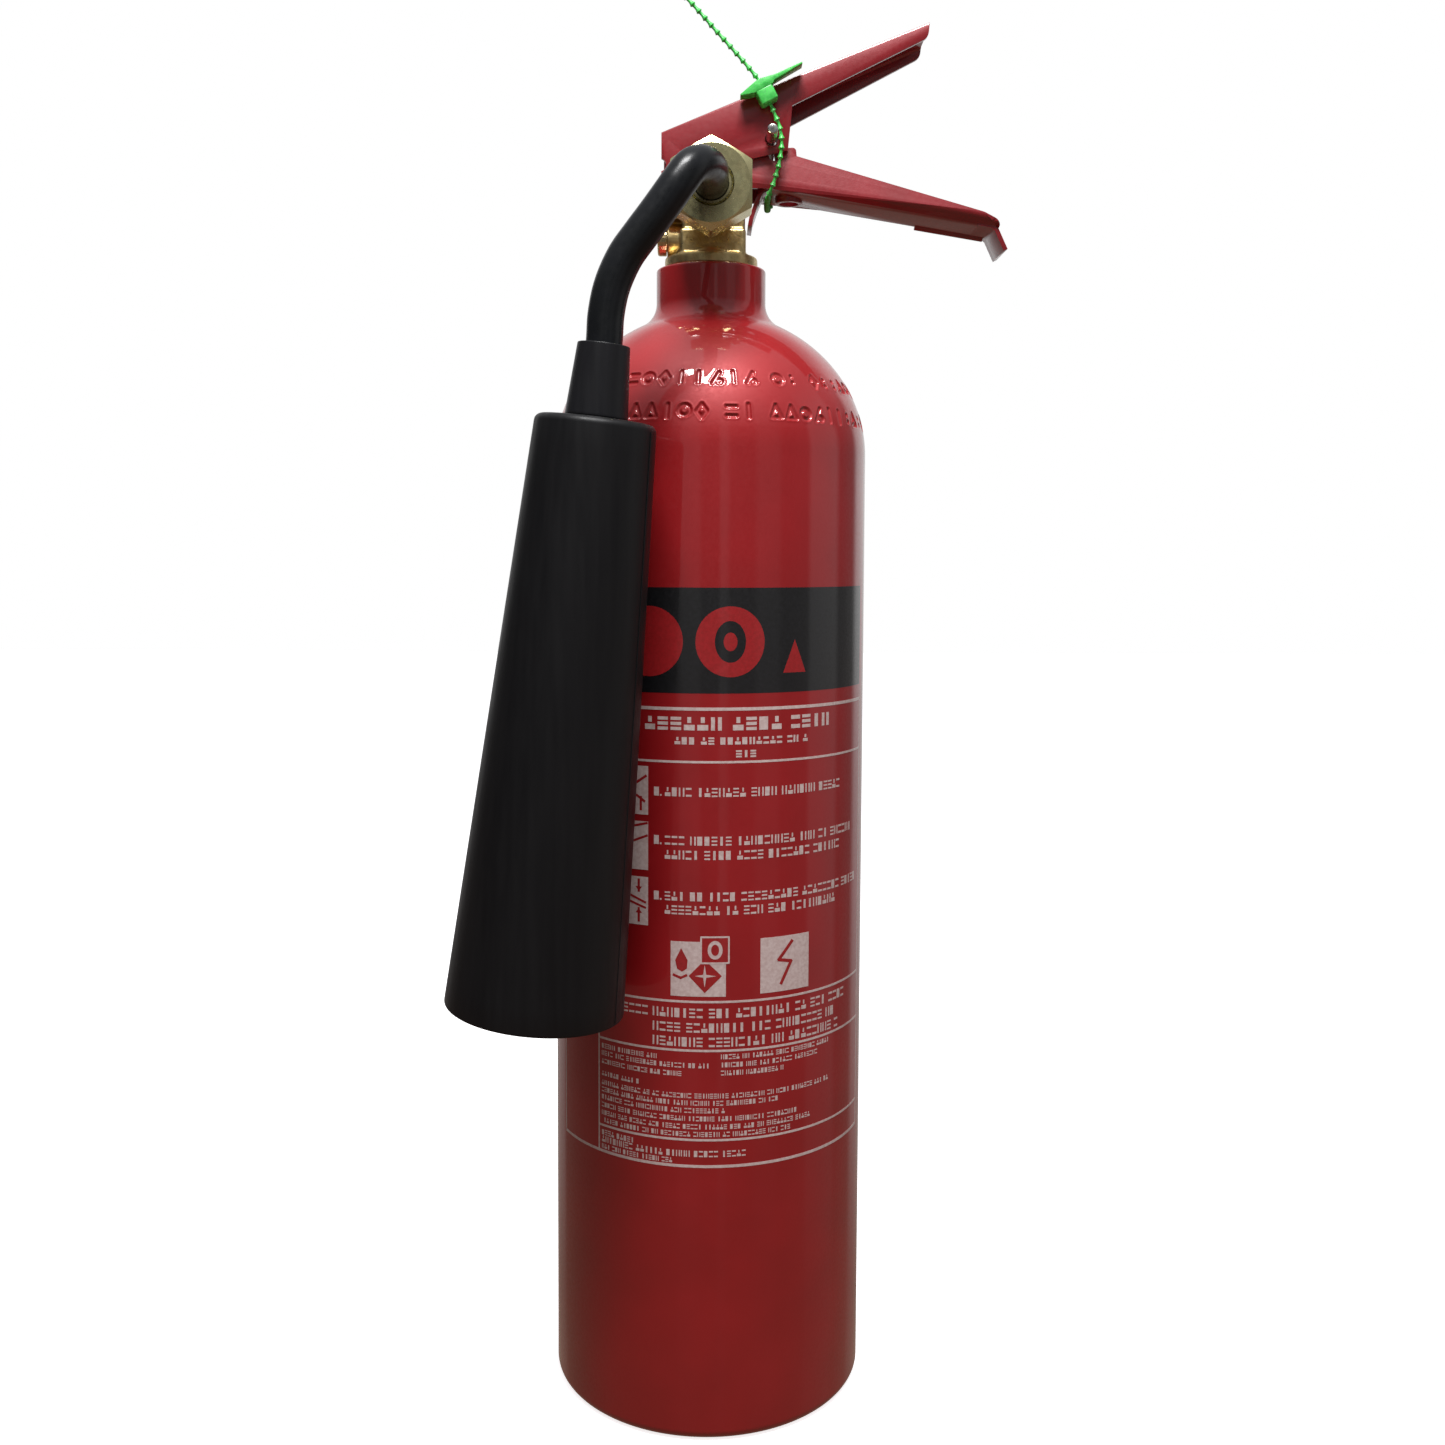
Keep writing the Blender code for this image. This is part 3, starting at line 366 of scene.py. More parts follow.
# Materials.
class Finish:
    """A procedural material: one Principled shader, fed by noise in the object's own space."""

    def __init__(self, name, metallic=0.0, coat=0.0, coat_roughness=0.05, specular=0.5):
        self.material = bpy.data.materials.new(name)
        self.material.use_nodes = True
        self.nodes = self.material.node_tree.nodes
        self.links = self.material.node_tree.links
        self.shader = self.nodes["Principled BSDF"]
        self.shader.inputs["Metallic"].default_value = metallic
        self.shader.inputs["Coat Weight"].default_value = coat
        self.shader.inputs["Coat Roughness"].default_value = coat_roughness
        self.shader.inputs["Specular IOR Level"].default_value = specular
        self.space = self.nodes.new("ShaderNodeTexCoord").outputs["Object"]

    def noise(self, scale, detail=3.0, stretch=(1, 1, 1)):
        mapping = self.nodes.new("ShaderNodeMapping")
        mapping.inputs["Scale"].default_value = stretch
        texture = self.nodes.new("ShaderNodeTexNoise")
        texture.inputs["Scale"].default_value = scale
        texture.inputs["Detail"].default_value = detail
        self.links.new(self.space, mapping.inputs["Vector"])
        self.links.new(mapping.outputs["Vector"], texture.inputs["Vector"])
        return texture.outputs["Fac"]

    def colour(self, source, stops):
        """Base colour from (position, colour) stops."""
        ramp = self.nodes.new("ShaderNodeValToRGB")
        elements = ramp.color_ramp.elements
        while len(elements) < len(stops):
            elements.new(0.5)
        for element, (position, colour) in zip(elements, stops):
            element.position = position
            element.color = (*colour, 1)
        self.links.new(source, ramp.inputs["Fac"])
        self.links.new(ramp.outputs["Color"], self.shader.inputs["Base Color"])
        return self

    def roughness(self, source, low, high):
        span = self.nodes.new("ShaderNodeMapRange")
        span.inputs["From Min"].default_value = 0.3
        span.inputs["From Max"].default_value = 0.7
        span.inputs["To Min"].default_value = low
        span.inputs["To Max"].default_value = high
        self.links.new(source, span.inputs["Value"])
        self.links.new(span.outputs["Result"], self.shader.inputs["Roughness"])
        return self

    def bump(self, source, distance, strength=1.0, coat=False):
        bump = self.nodes.new("ShaderNodeBump")
        bump.inputs["Distance"].default_value = distance
        bump.inputs["Strength"].default_value = strength
        self.links.new(source, bump.inputs["Height"])
        socket = self.shader.inputs["Normal"]
        if socket.is_linked:
            self.links.new(socket.links[0].from_socket, bump.inputs["Normal"])
        self.links.new(bump.outputs["Normal"], socket)
        if coat:
            self.links.new(bump.outputs["Normal"], self.shader.inputs["Coat Normal"])
        return self


def two_tone(finish, scale, light, dark, detail=3.0, stretch=(1, 1, 1)):
    source = finish.noise(scale, detail, stretch)
    return finish.colour(source, [(0.35, dark), (0.65, light)])


def gloss_paint():
    finish = Finish("red_gloss_paint", metallic=0.2, coat=1.0, coat_roughness=0.03)
    two_tone(finish, 35, (0.41, 0.006, 0.010), (0.36, 0.005, 0.008))
    finish.roughness(finish.noise(900), 0.42, 0.55)
    finish.bump(finish.noise(300, 2), 0.000014, 1.0, coat=True)
    return finish.material


def satin_paint():
    finish = Finish("red_satin_paint", metallic=0.1, coat=0.8, coat_roughness=0.14)
    two_tone(finish, 60, (0.28, 0.008, 0.015), (0.24, 0.007, 0.012))
    finish.roughness(finish.noise(700), 0.34, 0.44)
    finish.bump(finish.noise(2200, 2), 0.00002, 0.8)
    return finish.material


def cast_brass():
    finish = Finish("sand_cast_brass", metallic=1.0)
    two_tone(finish, 220, (0.72, 0.56, 0.28), (0.52, 0.38, 0.17), 5)
    finish.roughness(finish.noise(600, 4), 0.26, 0.46)
    finish.bump(finish.noise(1500, 4), 0.00009, 0.9)
    finish.bump(finish.noise(300, 3), 0.0002, 0.5)
    return finish.material


def turned_metal(name, light, dark, stretch, roughness=(0.18, 0.36)):
    """A lathe-turned finish, with fine lines across the direction that stretch makes short."""
    finish = Finish(name, metallic=1.0)
    two_tone(finish, 400, light, dark, 2, stretch)
    finish.roughness(finish.noise(1400, 2, stretch), *roughness)
    finish.bump(finish.noise(2600, 2, stretch), 0.00001, 0.7)
    return finish.material


def plated_nut():
    finish = Finish("yellow_plate", metallic=1.0)
    source = finish.noise(130, 3)
    finish.colour(
        source,
        [(0.30, (0.70, 0.62, 0.33)), (0.48, (0.73, 0.67, 0.36)), (0.66, (0.72, 0.70, 0.39))],
    )
    finish.roughness(finish.noise(500, 2), 0.24, 0.30)
    finish.bump(finish.noise(1800, 2, (1, 0.15, 1)), 0.000002, 0.4)
    return finish.material


def black_paint():
    finish = Finish("black_satin_paint", coat=0.12, coat_roughness=0.2, specular=0.22)
    two_tone(finish, 90, (0.009, 0.010, 0.012), (0.007, 0.008, 0.009))
    finish.roughness(finish.noise(500), 0.26, 0.38)
    finish.bump(finish.noise(700, 2), 0.00003, 0.5)
    return finish.material


def moulded(name, light, dark, roughness, grain=1800, drag=(1, 1, 0.08)):
    """Moulded plastic with a fine skin and faint flow lines."""
    finish = Finish(name, specular=0.28)
    two_tone(finish, 160, light, dark, 3, drag)
    finish.roughness(finish.noise(420, 4, drag), *roughness)
    finish.bump(finish.noise(grain, 2), 0.00002, 0.7)
    return finish.material


def green_plastic():
    finish = Finish("green_seal_plastic", specular=0.5)
    two_tone(finish, 500, (0.10, 0.66, 0.13), (0.05, 0.50, 0.08))
    finish.roughness(finish.noise(900), 0.28, 0.42)
    finish.bump(finish.noise(1500, 2), 0.00002, 0.5)
    finish.shader.inputs["Subsurface Weight"].default_value = 0.25
    finish.shader.inputs["Subsurface Radius"].default_value = (0.3, 1.0, 0.3)
    finish.shader.inputs["Subsurface Scale"].default_value = 0.0006
    return finish.material


def ink(name, light, dark, metallic=0.0):
    finish = Finish(name, metallic=metallic, coat=0.8, coat_roughness=0.04)
    two_tone(finish, 900, light, dark, 4)
    finish.roughness(finish.noise(1200), 0.38, 0.52)
    finish.bump(finish.noise(300, 2), 0.000014, 1.0, coat=True)
    return finish.material


def floor_finish():
    finish = Finish("pale_floor", specular=0.1)
    two_tone(finish, 6, (0.90, 0.90, 0.90), (0.88, 0.88, 0.88))
    finish.roughness(finish.noise(40), 0.7, 0.85)
    finish.shader.inputs["Emission Color"].default_value = (1, 1, 1, 1)
    finish.shader.inputs["Emission Strength"].default_value = FLOOR_GLOW_STRENGTH
    return finish.material


PAINT = gloss_paint()
LEVER_PAINT = satin_paint()
CAST_BRASS = cast_brass()
TURNED_BRASS = turned_metal("turned_brass", (0.78, 0.60, 0.27), (0.66, 0.48, 0.20), (0.3, 0.3, 4))
PLUG_BRASS = turned_metal("plug_brass", (0.76, 0.60, 0.32), (0.64, 0.48, 0.24), (4, 0.4, 0.4))
NUT_PLATE = plated_nut()
TUBE_PAINT = black_paint()
HORN_PLASTIC = moulded("black_horn_plastic", (0.007, 0.007, 0.008), (0.005, 0.005, 0.006), (0.40, 0.52))
COLLAR_PLASTIC = moulded("black_collar_plastic", (0.009, 0.009, 0.011), (0.007, 0.007, 0.008), (0.34, 0.46))
STEEL = turned_metal("plated_steel", (0.66, 0.66, 0.65), (0.54, 0.54, 0.52), (0.4, 3, 0.4))
SPRING_STEEL = turned_metal("spring_steel", (0.60, 0.60, 0.58), (0.46, 0.46, 0.45), (1, 1, 1))
COPPER = turned_metal("copper_sheet", (0.80, 0.42, 0.28), (0.64, 0.30, 0.18), (1, 1, 1))
ALUMINIUM = turned_metal("drawn_aluminium", (0.76, 0.77, 0.78), (0.66, 0.67, 0.68), (3, 3, 0.1))
RUBBER = moulded("black_rubber", (0.016, 0.016, 0.016), (0.010, 0.010, 0.010), (0.55, 0.7), 900)
NYLON = moulded("white_nylon", (0.78, 0.76, 0.70), (0.70, 0.68, 0.62), (0.38, 0.5), 900)
GREEN = green_plastic()
WHITE_INK = ink("white_print", (0.74, 0.60, 0.58), (0.62, 0.46, 0.44))
BLACK_INK = ink("black_print", (0.006, 0.006, 0.008), (0.003, 0.003, 0.004))
RED_INK = ink("red_print", (0.40, 0.010, 0.014), (0.33, 0.008, 0.010))


# Camera and light.
def make_camera():
    fwd = Vector(
        (
            math.sin(CAMERA_YAW) * math.cos(CAMERA_PITCH),
            math.cos(CAMERA_YAW) * math.cos(CAMERA_PITCH),
            -math.sin(CAMERA_PITCH),
        )
    )
    right = Vector((math.cos(CAMERA_YAW), -math.sin(CAMERA_YAW), 0))
    up = right.cross(fwd)
    turned_right = right * math.cos(CAMERA_ROLL) + up * math.sin(CAMERA_ROLL)
    turned_up = up * math.cos(CAMERA_ROLL) - right * math.sin(CAMERA_ROLL)
    data = bpy.data.cameras.new("camera")
    data.lens = CAMERA_LENS
    data.sensor_width = 36
    data.shift_y = CAMERA_SHIFT_Y
    obj = bpy.data.objects.new("camera", data)
    bpy.context.scene.collection.objects.link(obj)
    turn = Matrix((turned_right, turned_up, -fwd)).transposed().to_4x4()
    obj.matrix_world = Matrix.Translation(CAMERA_PLACE) @ turn
    bpy.context.scene.camera = obj


# Brightness of the room by compass angle, in degrees from the front towards +X.
ROOM = (
    (-180, 0.80), (-140, 0.80), (-134, 0.06), (-64, 0.05), (-40, 0.09), (-23, 0.10), (-20, 0.34),
    (-8, 0.30), (-5, 0.12), (6, 0.12), (8, 0.42), (12, 0.38), (15, 0.14), (31, 0.13), (36, 0.30),
    (50, 0.28), (54, 0.13), (75, 0.14), (79, 0.55), (104, 0.50), (110, 0.09), (130, 0.10),
    (138, 0.95), (180, 0.80),
)
# Share of that brightness by the sine of the angle above the horizon.
ROOM_HEIGHT = (
    (-1.0, 0.0), (-0.45, 0.06), (-0.26, 0.40), (-0.12, 0.62), (0.05, 1.0), (0.45, 0.8), (0.7, 0.0),
)
# Colour added to it, from straight down to straight up.
FLOOR_GLOW = (
    (-1.0, (0.20, 0.13, 0.09)), (-0.5, (0.22, 0.14, 0.10)), (-0.25, (0.08, 0.05, 0.04)), (0.0, (0, 0, 0)),
)
CEILING_GLOW = ((0.30, (0, 0, 0)), (0.50, (0.22, 0.22, 0.23)), (1.0, (0.60, 0.60, 0.62)))


def ramp_node(nodes, stops, low, high):
    """A colour ramp over the range low to high of its input."""
    ramp = nodes.new("ShaderNodeValToRGB")
    elements = ramp.color_ramp.elements
    while len(elements) < len(stops):
        elements.new(0.5)
    for element, (position, value) in zip(elements, stops):
        element.position = (position - low) / (high - low)
        colour = value if isinstance(value, tuple) else (value, value, value)
        element.color = (*colour, 1)
    return ramp


def make_world():
    world = bpy.data.worlds.new("studio")
    world.use_nodes = True
    bpy.context.scene.world = world
    nodes = world.node_tree.nodes
    links = world.node_tree.links
    nodes.clear()
    direction = nodes.new("ShaderNodeTexCoord").outputs["Generated"]
    split = nodes.new("ShaderNodeSeparateXYZ")
    links.new(direction, split.inputs[0])

    def math_node(operation, first, second):
        node = nodes.new("ShaderNodeMath")
        node.operation = operation
        for socket, value in zip(node.inputs, (first, second)):
            if isinstance(value, (int, float)):
                socket.default_value = value
            else:
                links.new(value, socket)
        return node.outputs[0]

    def mix(kind, first, second):
        node = nodes.new("ShaderNodeMix")
        node.data_type = "RGBA"
        node.blend_type = kind
        node.inputs["Factor"].default_value = 1
        links.new(first, node.inputs["A"])
        links.new(second, node.inputs["B"])
        return node.outputs["Result"]

    front = math_node("MULTIPLY", split.outputs["Y"], -1)
    angle = math_node("ARCTAN2", split.outputs["X"], front)
    turn = math_node("ADD", math_node("MULTIPLY", angle, 0.5 / math.pi), 0.5)
    height = math_node("ADD", math_node("MULTIPLY", split.outputs["Z"], 0.5), 0.5)
    room = ramp_node(nodes, ROOM, -180, 180)
    links.new(turn, room.inputs["Fac"])
    layers = []
    for stops in (ROOM_HEIGHT, FLOOR_GLOW, CEILING_GLOW):
        ramp = ramp_node(nodes, stops, -1, 1)
        links.new(height, ramp.inputs["Fac"])
        layers.append(ramp.outputs["Color"])
    glow = mix("MULTIPLY", room.outputs["Color"], layers[0])
    glow = mix("ADD", glow, layers[1])
    glow = mix("ADD", glow, layers[2])
    lit = nodes.new("ShaderNodeBackground")
    links.new(glow, lit.inputs["Color"])
    plain = nodes.new("ShaderNodeBackground")
    plain.inputs["Color"].default_value = (1, 1, 1, 1)
    choose = nodes.new("ShaderNodeMixShader")
    links.new(nodes.new("ShaderNodeLightPath").outputs["Is Camera Ray"], choose.inputs["Fac"])
    links.new(lit.outputs[0], choose.inputs[1])
    links.new(plain.outputs[0], choose.inputs[2])
    output = nodes.new("ShaderNodeOutputWorld")
    links.new(choose.outputs[0], output.inputs["Surface"])


def area_light(name, place, target, size, watts):
    data = bpy.data.lights.new(name, "AREA")
    data.shape = "RECTANGLE"
    data.size, data.size_y = size
    data.energy = watts
    obj = bpy.data.objects.new(name, data)
    bpy.context.scene.collection.objects.link(obj)
    obj.location = place
    aim_at = Vector(target) - Vector(place)
    obj.rotation_euler = aim_at.to_track_quat("-Z", "Y").to_euler()


def make_stage():
    bm = bmesh.new()
    bmesh.ops.create_grid(bm, x_segments=2, y_segments=2, size=FLOOR_HALF)
    floor = add("floor", mesh_of("floor", bm), floor_finish())
    floor.location.z = -FLOOR_DROP
    floor.visible_diffuse = False
    floor.visible_glossy = False
    area_light("ceiling_panel", PANEL_PLACE, PANEL_TARGET, PANEL_SIZE, PANEL_WATTS)
    bpy.context.scene.view_settings.view_transform = "Standard"


# Cylinder.
def neck_fillet():
    """The concave arc between the dome and the neck, from the neck down."""
    centre_x = NECK_R + NECK_FILLET
    low = 0.0
    high = math.pi / 2
    for _ in range(40):
        angle = (low + high) / 2
        x = CYLINDER_R * math.cos(angle)
        z = DOME_RISE * math.sin(angle)
        normal = Vector((x / CYLINDER_R**2, z / DOME_RISE**2)).normalized()
        if x + normal.x * NECK_FILLET > centre_x:
            low = angle
        else:
            high = angle
    centre = (centre_x, DOME_START_Z + z + normal.y * NECK_FILLET)
    end = math.degrees(math.atan2(-normal.y, -normal.x))
    return arc(centre, NECK_FILLET, 180, end + 360, 12), angle


def dome_point(angle):
    return (CYLINDER_R * math.cos(angle), DOME_START_Z + DOME_RISE * math.sin(angle))


def stamp_strokes(kind):
    """Lines and rings of one generic stamped mark, in a cell from -0.5 to 0.5."""
    if kind == "ring":
        return [], [(0, 0, 0.34)]
    if kind == "dots":
        return [((0, 0.22), (0, 0.24)), ((0, -0.24), (0, -0.22))], []
    if kind == "bars":
        return [((-0.28, 0.3), (0.28, 0.3)), ((-0.28, -0.3), (0.28, -0.3))], []
    if kind == "post":
        return [((0, -0.42), (0, 0.42))], []
    if kind == "slant":
        return [((-0.22, -0.4), (0.22, 0.4))], [(0.2, -0.26, 0.13)]
    if kind == "diamond":
        corners = [(0, 0.44), (0.3, 0), (0, -0.44), (-0.3, 0)]
    else:
        corners = [(0, 0.42), (0.33, -0.36), (-0.33, -0.36)]
    return [(corners[index - 1], corners[index]) for index in range(len(corners))], []


def stroke_distance(s, t, strokes, rings):
    found = np.full(s.shape, 1.0)
    for (x0, y0), (x1, y1) in strokes:
        dx, dy = x1 - x0, y1 - y0
        share = np.clip(((s - x0) * dx + (t - y0) * dy) / (dx * dx + dy * dy), 0, 1)
        found = np.minimum(found, np.hypot(s - x0 - share * dx, t - y0 - share * dy))
    for x, y, radius in rings:
        found = np.minimum(found, np.abs(np.hypot(s - x, t - y) - radius))
    return found


def stamped_depth(turns, dome_angles):
    """How far each point of the stamped band is pressed in, rows of marks by compass angle."""
    draw = random.Random(STAMP_SEED)
    kinds = ("ring", "bars", "post", "diamond", "triangle", "slant", "dots")
    grid_turn, grid_angle = np.meshgrid(turns, dome_angles)
    depth = np.zeros(grid_turn.shape)
    for degrees, first, last in STAMP_ROWS:
        middle = math.radians(degrees)
        radius = CYLINDER_R * math.cos(middle)
        slope = math.hypot(CYLINDER_R * math.sin(middle), DOME_RISE * math.cos(middle))
        pitch = STAMP_PITCH / radius
        place = math.radians(first)
        while place < math.radians(last):
            kind = draw.choice(kinds)
            if draw.random() < STAMP_SPACE_CHANCE:
                place += pitch * STAMP_SPACE
            apart = (grid_turn - place + math.pi) % (2 * math.pi) - math.pi
            s = apart * radius / STAMP_SIZE
            shift = math.radians(draw.uniform(-STAMP_WANDER, STAMP_WANDER))
            t = (grid_angle - middle - shift) * slope / STAMP_SIZE
            near = (np.abs(s) < 0.8) & (np.abs(t) < 0.8)
            strokes, rings = stamp_strokes(kind)
            distance = stroke_distance(s[near], t[near], strokes, rings) * STAMP_SIZE
            share = np.clip(1 - (distance / STAMP_STROKE) ** 2, 0, 1)
            lip = np.exp(-(((distance - STAMP_STROKE * 1.25) / (STAMP_STROKE * 0.35)) ** 2))
            pressed = STAMP_DEPTH * share**0.8 - STAMP_LIP * lip
            depth[near] = np.where(share > 0, np.maximum(depth[near], pressed), depth[near] + pressed)
            place += pitch
    return depth


def make_shell():
    """The painted cylinder, with two rows of stamped marks pressed into its shoulder."""
    fillet, dome_end = neck_fillet()
    inner_r = CYLINDER_R - CYLINDER_WALL
    inner_rise = DOME_RISE - CYLINDER_WALL
    inner = [(0, BASE_THICKNESS)]
    corner = (inner_r - INNER_CORNER, BASE_THICKNESS + INNER_CORNER)
    inner += arc(corner, INNER_CORNER, -90, 0, 6)
    inner_end = math.degrees(math.acos(NECK_BORE_R / inner_r))
    for step in range(12):
        angle = math.radians(inner_end * step / 11)
        inner.append((inner_r * math.cos(angle), DOME_START_Z + inner_rise * math.sin(angle)))
    seal_r = NECK_BORE_R + SEAL_SEAT_WIDTH
    seal_z = NECK_TOP_Z - SEAL_SEAT_DEPTH
    rim = [(NECK_BORE_R, seal_z), (seal_r, seal_z), (seal_r, NECK_TOP_Z)]
    rim += arc((NECK_R - RIM_ROUND, NECK_TOP_Z - RIM_ROUND), RIM_ROUND, 90, 0, 5)
    before = [dome_end + (STAMP_BAND[1] - dome_end) * step / 16 for step in range(1, 16)]
    after = [STAMP_BAND[0] * (1 - step / 4) for step in range(1, 5)]
    wall = []
    for step in range(1, 12):
        wall.append((CYLINDER_R, DOME_START_Z * (1 - step / 12) + BASE_CORNER * step / 12))
    base = arc((CYLINDER_R - BASE_CORNER, BASE_CORNER), BASE_CORNER, 0, -90, 10)
    base += [(CYLINDER_R * 0.62, 0), (0, 0)]
    rows = int((STAMP_BAND[1] - STAMP_BAND[0]) * DOME_RISE / STAMP_ROW)
    angles = np.linspace(STAMP_BAND[1], STAMP_BAND[0], rows)
    fine = SHELL_SEGMENTS * STAMP_SPLIT
    # A column's compass angle is measured from the front, and a ring's own angle from +X.
    turns = np.arange(fine) * 2 * math.pi / fine + math.pi / 2
    depth = stamped_depth(turns, angles)

    bm = bmesh.new()
    rings = [ring_of(bm, r, z, SHELL_SEGMENTS) for r, z in inner + rim + fillet]
    rings += [ring_of(bm, *dome_point(angle), SHELL_SEGMENTS) for angle in before]
    for row, angle in enumerate(angles):
        radius, height = dome_point(angle)
        normal = Vector((math.cos(angle) / CYLINDER_R, math.sin(angle) / DOME_RISE)).normalized()
        ring = ring_of(bm, radius, height, fine)
        for column, vertex in enumerate(ring):
            inward = depth[row, column]
            vertex.co.x *= 1 - normal.x * inward / radius
            vertex.co.y *= 1 - normal.x * inward / radius
            vertex.co.z -= normal.y * inward
        rings.append(ring)
    rings += [ring_of(bm, *dome_point(angle), SHELL_SEGMENTS) for angle in after]
    rings += [ring_of(bm, r, z, SHELL_SEGMENTS) for r, z in wall + base]
    for first, second in zip(rings, rings[1:]):
        join_rings(bm, first, second)
    shell = smooth(add("painted_cylinder", mesh_of("painted_cylinder", bm), PAINT), 40)
    ride(shell, "cylinder_and_valve", "red_gloss_paint_on_alloy", "cylinder")


# Label.
class Print:
    """Flat printed shapes in millimetres, wrapped round the cylinder at the end."""

    def __init__(self, lift):
        self.bm = bmesh.new()
        self.low = lift - PRINT_DEPTH
        self.high = lift

    def shape(self, outline):
        prism(self.bm, outline, self.low, self.high)

    def rect(self, x0, x1, z0, z1):
        self.shape([(x0, z0), (x1, z0), (x1, z1), (x0, z1)])

    def rule(self, x0, x1, z, width=0.8):
        self.rect(x0, x1, z - width / 2, z + width / 2)

    def post(self, x, z0, z1, width=0.6):
        self.rect(x - width / 2, x + width / 2, z0, z1)

    def line(self, points, width):
        """A bent line of straight pieces, each with square ends."""
        for start, end in zip(points, points[1:]):
            start, end = Vector(start), Vector(end)
            along = (end - start).normalized()
            side = Vector((-along.y, along.x)) * width / 2
            reach = along * width * 0.3
            corners = (start - reach - side, end + reach - side, end + reach + side, start - reach + side)
            self.shape([tuple(corner) for corner in corners])

    def disc(self, x, z, across, tall, steps=48):
        self.shape([(x + across * c, z + tall * s) for c, s in arc((0, 0), 1, 0, 360, steps)[:-1]])

    def ring(self, x, z, outer, inner, steps=64):
        """A ring between two ovals, each given by its half width and half height."""
        turn = arc((0, 0), 1, 0, 360, steps)
        for (c0, s0), (c1, s1) in zip(turn, turn[1:]):
            self.shape(
                [
                    (x + inner[0] * c0, z + inner[1] * s0),
                    (x + outer[0] * c0, z + outer[1] * s0),
                    (x + outer[0] * c1, z + outer[1] * s1),
                    (x + inner[0] * c1, z + inner[1] * s1),
                ]
            )

    def words(self, x0, x1, z, cap, draw, bold=False):
        """A row of small blocks that stands for a line of print."""
        pitch = cap * (1.02 if bold else 0.80)
        width = pitch * 0.80
        x = x0
        left = draw.randint(3, 8)
        while x + width <= x1:
            if left == 0:
                left = draw.randint(2, 9)
                x += pitch * 0.62
                continue
            self.block(x, z, width, cap, draw.randint(0, 5), bold)
            x += pitch
            left -= 1

    def block(self, x, z, width, cap, kind, bold):
        bar = cap * (0.30 if bold else 0.22)
        post = width * (0.36 if bold else 0.28)
        if kind == 0:
            self.rect(x, x + width, z, z + bar)
            self.rect(x, x + width, z + cap - bar, z + cap)
        elif kind == 1:
            self.rect(x, x + post, z, z + cap)
            self.rect(x + width - post, x + width, z, z + cap)
        elif kind == 2:
            self.rect(x + width * 0.28, x + width * 0.72, z, z + cap)
        elif kind == 3:
            for share in (0, 0.5, 1):
                low = z + (cap - bar * 0.8) * share
                self.rect(x, x + width, low, low + bar * 0.8)
        elif kind == 4:
            self.rect(x, x + width, z, z + cap * 0.42)
            self.rect(x + width / 2 - post / 2, x + width / 2 + post / 2, z + cap * 0.56, z + cap)
        else:
            self.rect(x, x + width * 0.86, z, z + cap)

    def wrap(self, name, material, split=True):
        bm = self.bm
        if split:
            low = min(vertex.co.x for vertex in bm.verts)
            high = max(vertex.co.x for vertex in bm.verts)
            for index in range(math.ceil(low / LABEL_COLUMN), math.ceil(high / LABEL_COLUMN)):
                bmesh.ops.bisect_plane(
                    bm,
                    geom=bm.verts[:] + bm.edges[:] + bm.faces[:],
                    plane_co=(index * LABEL_COLUMN, 0, 0),
                    plane_no=(1, 0, 0),
                    dist=0.0001,
                )
        for vertex in bm.verts:
            x, z, lift = vertex.co * MM
            turn = x / CYLINDER_R
            radius = CYLINDER_R + lift
            vertex.co = (radius * math.sin(turn), -radius * math.cos(turn), z)
        piece = smooth(add(name, mesh_of(name, bm), material))
        ride(piece, "cylinder_and_valve")


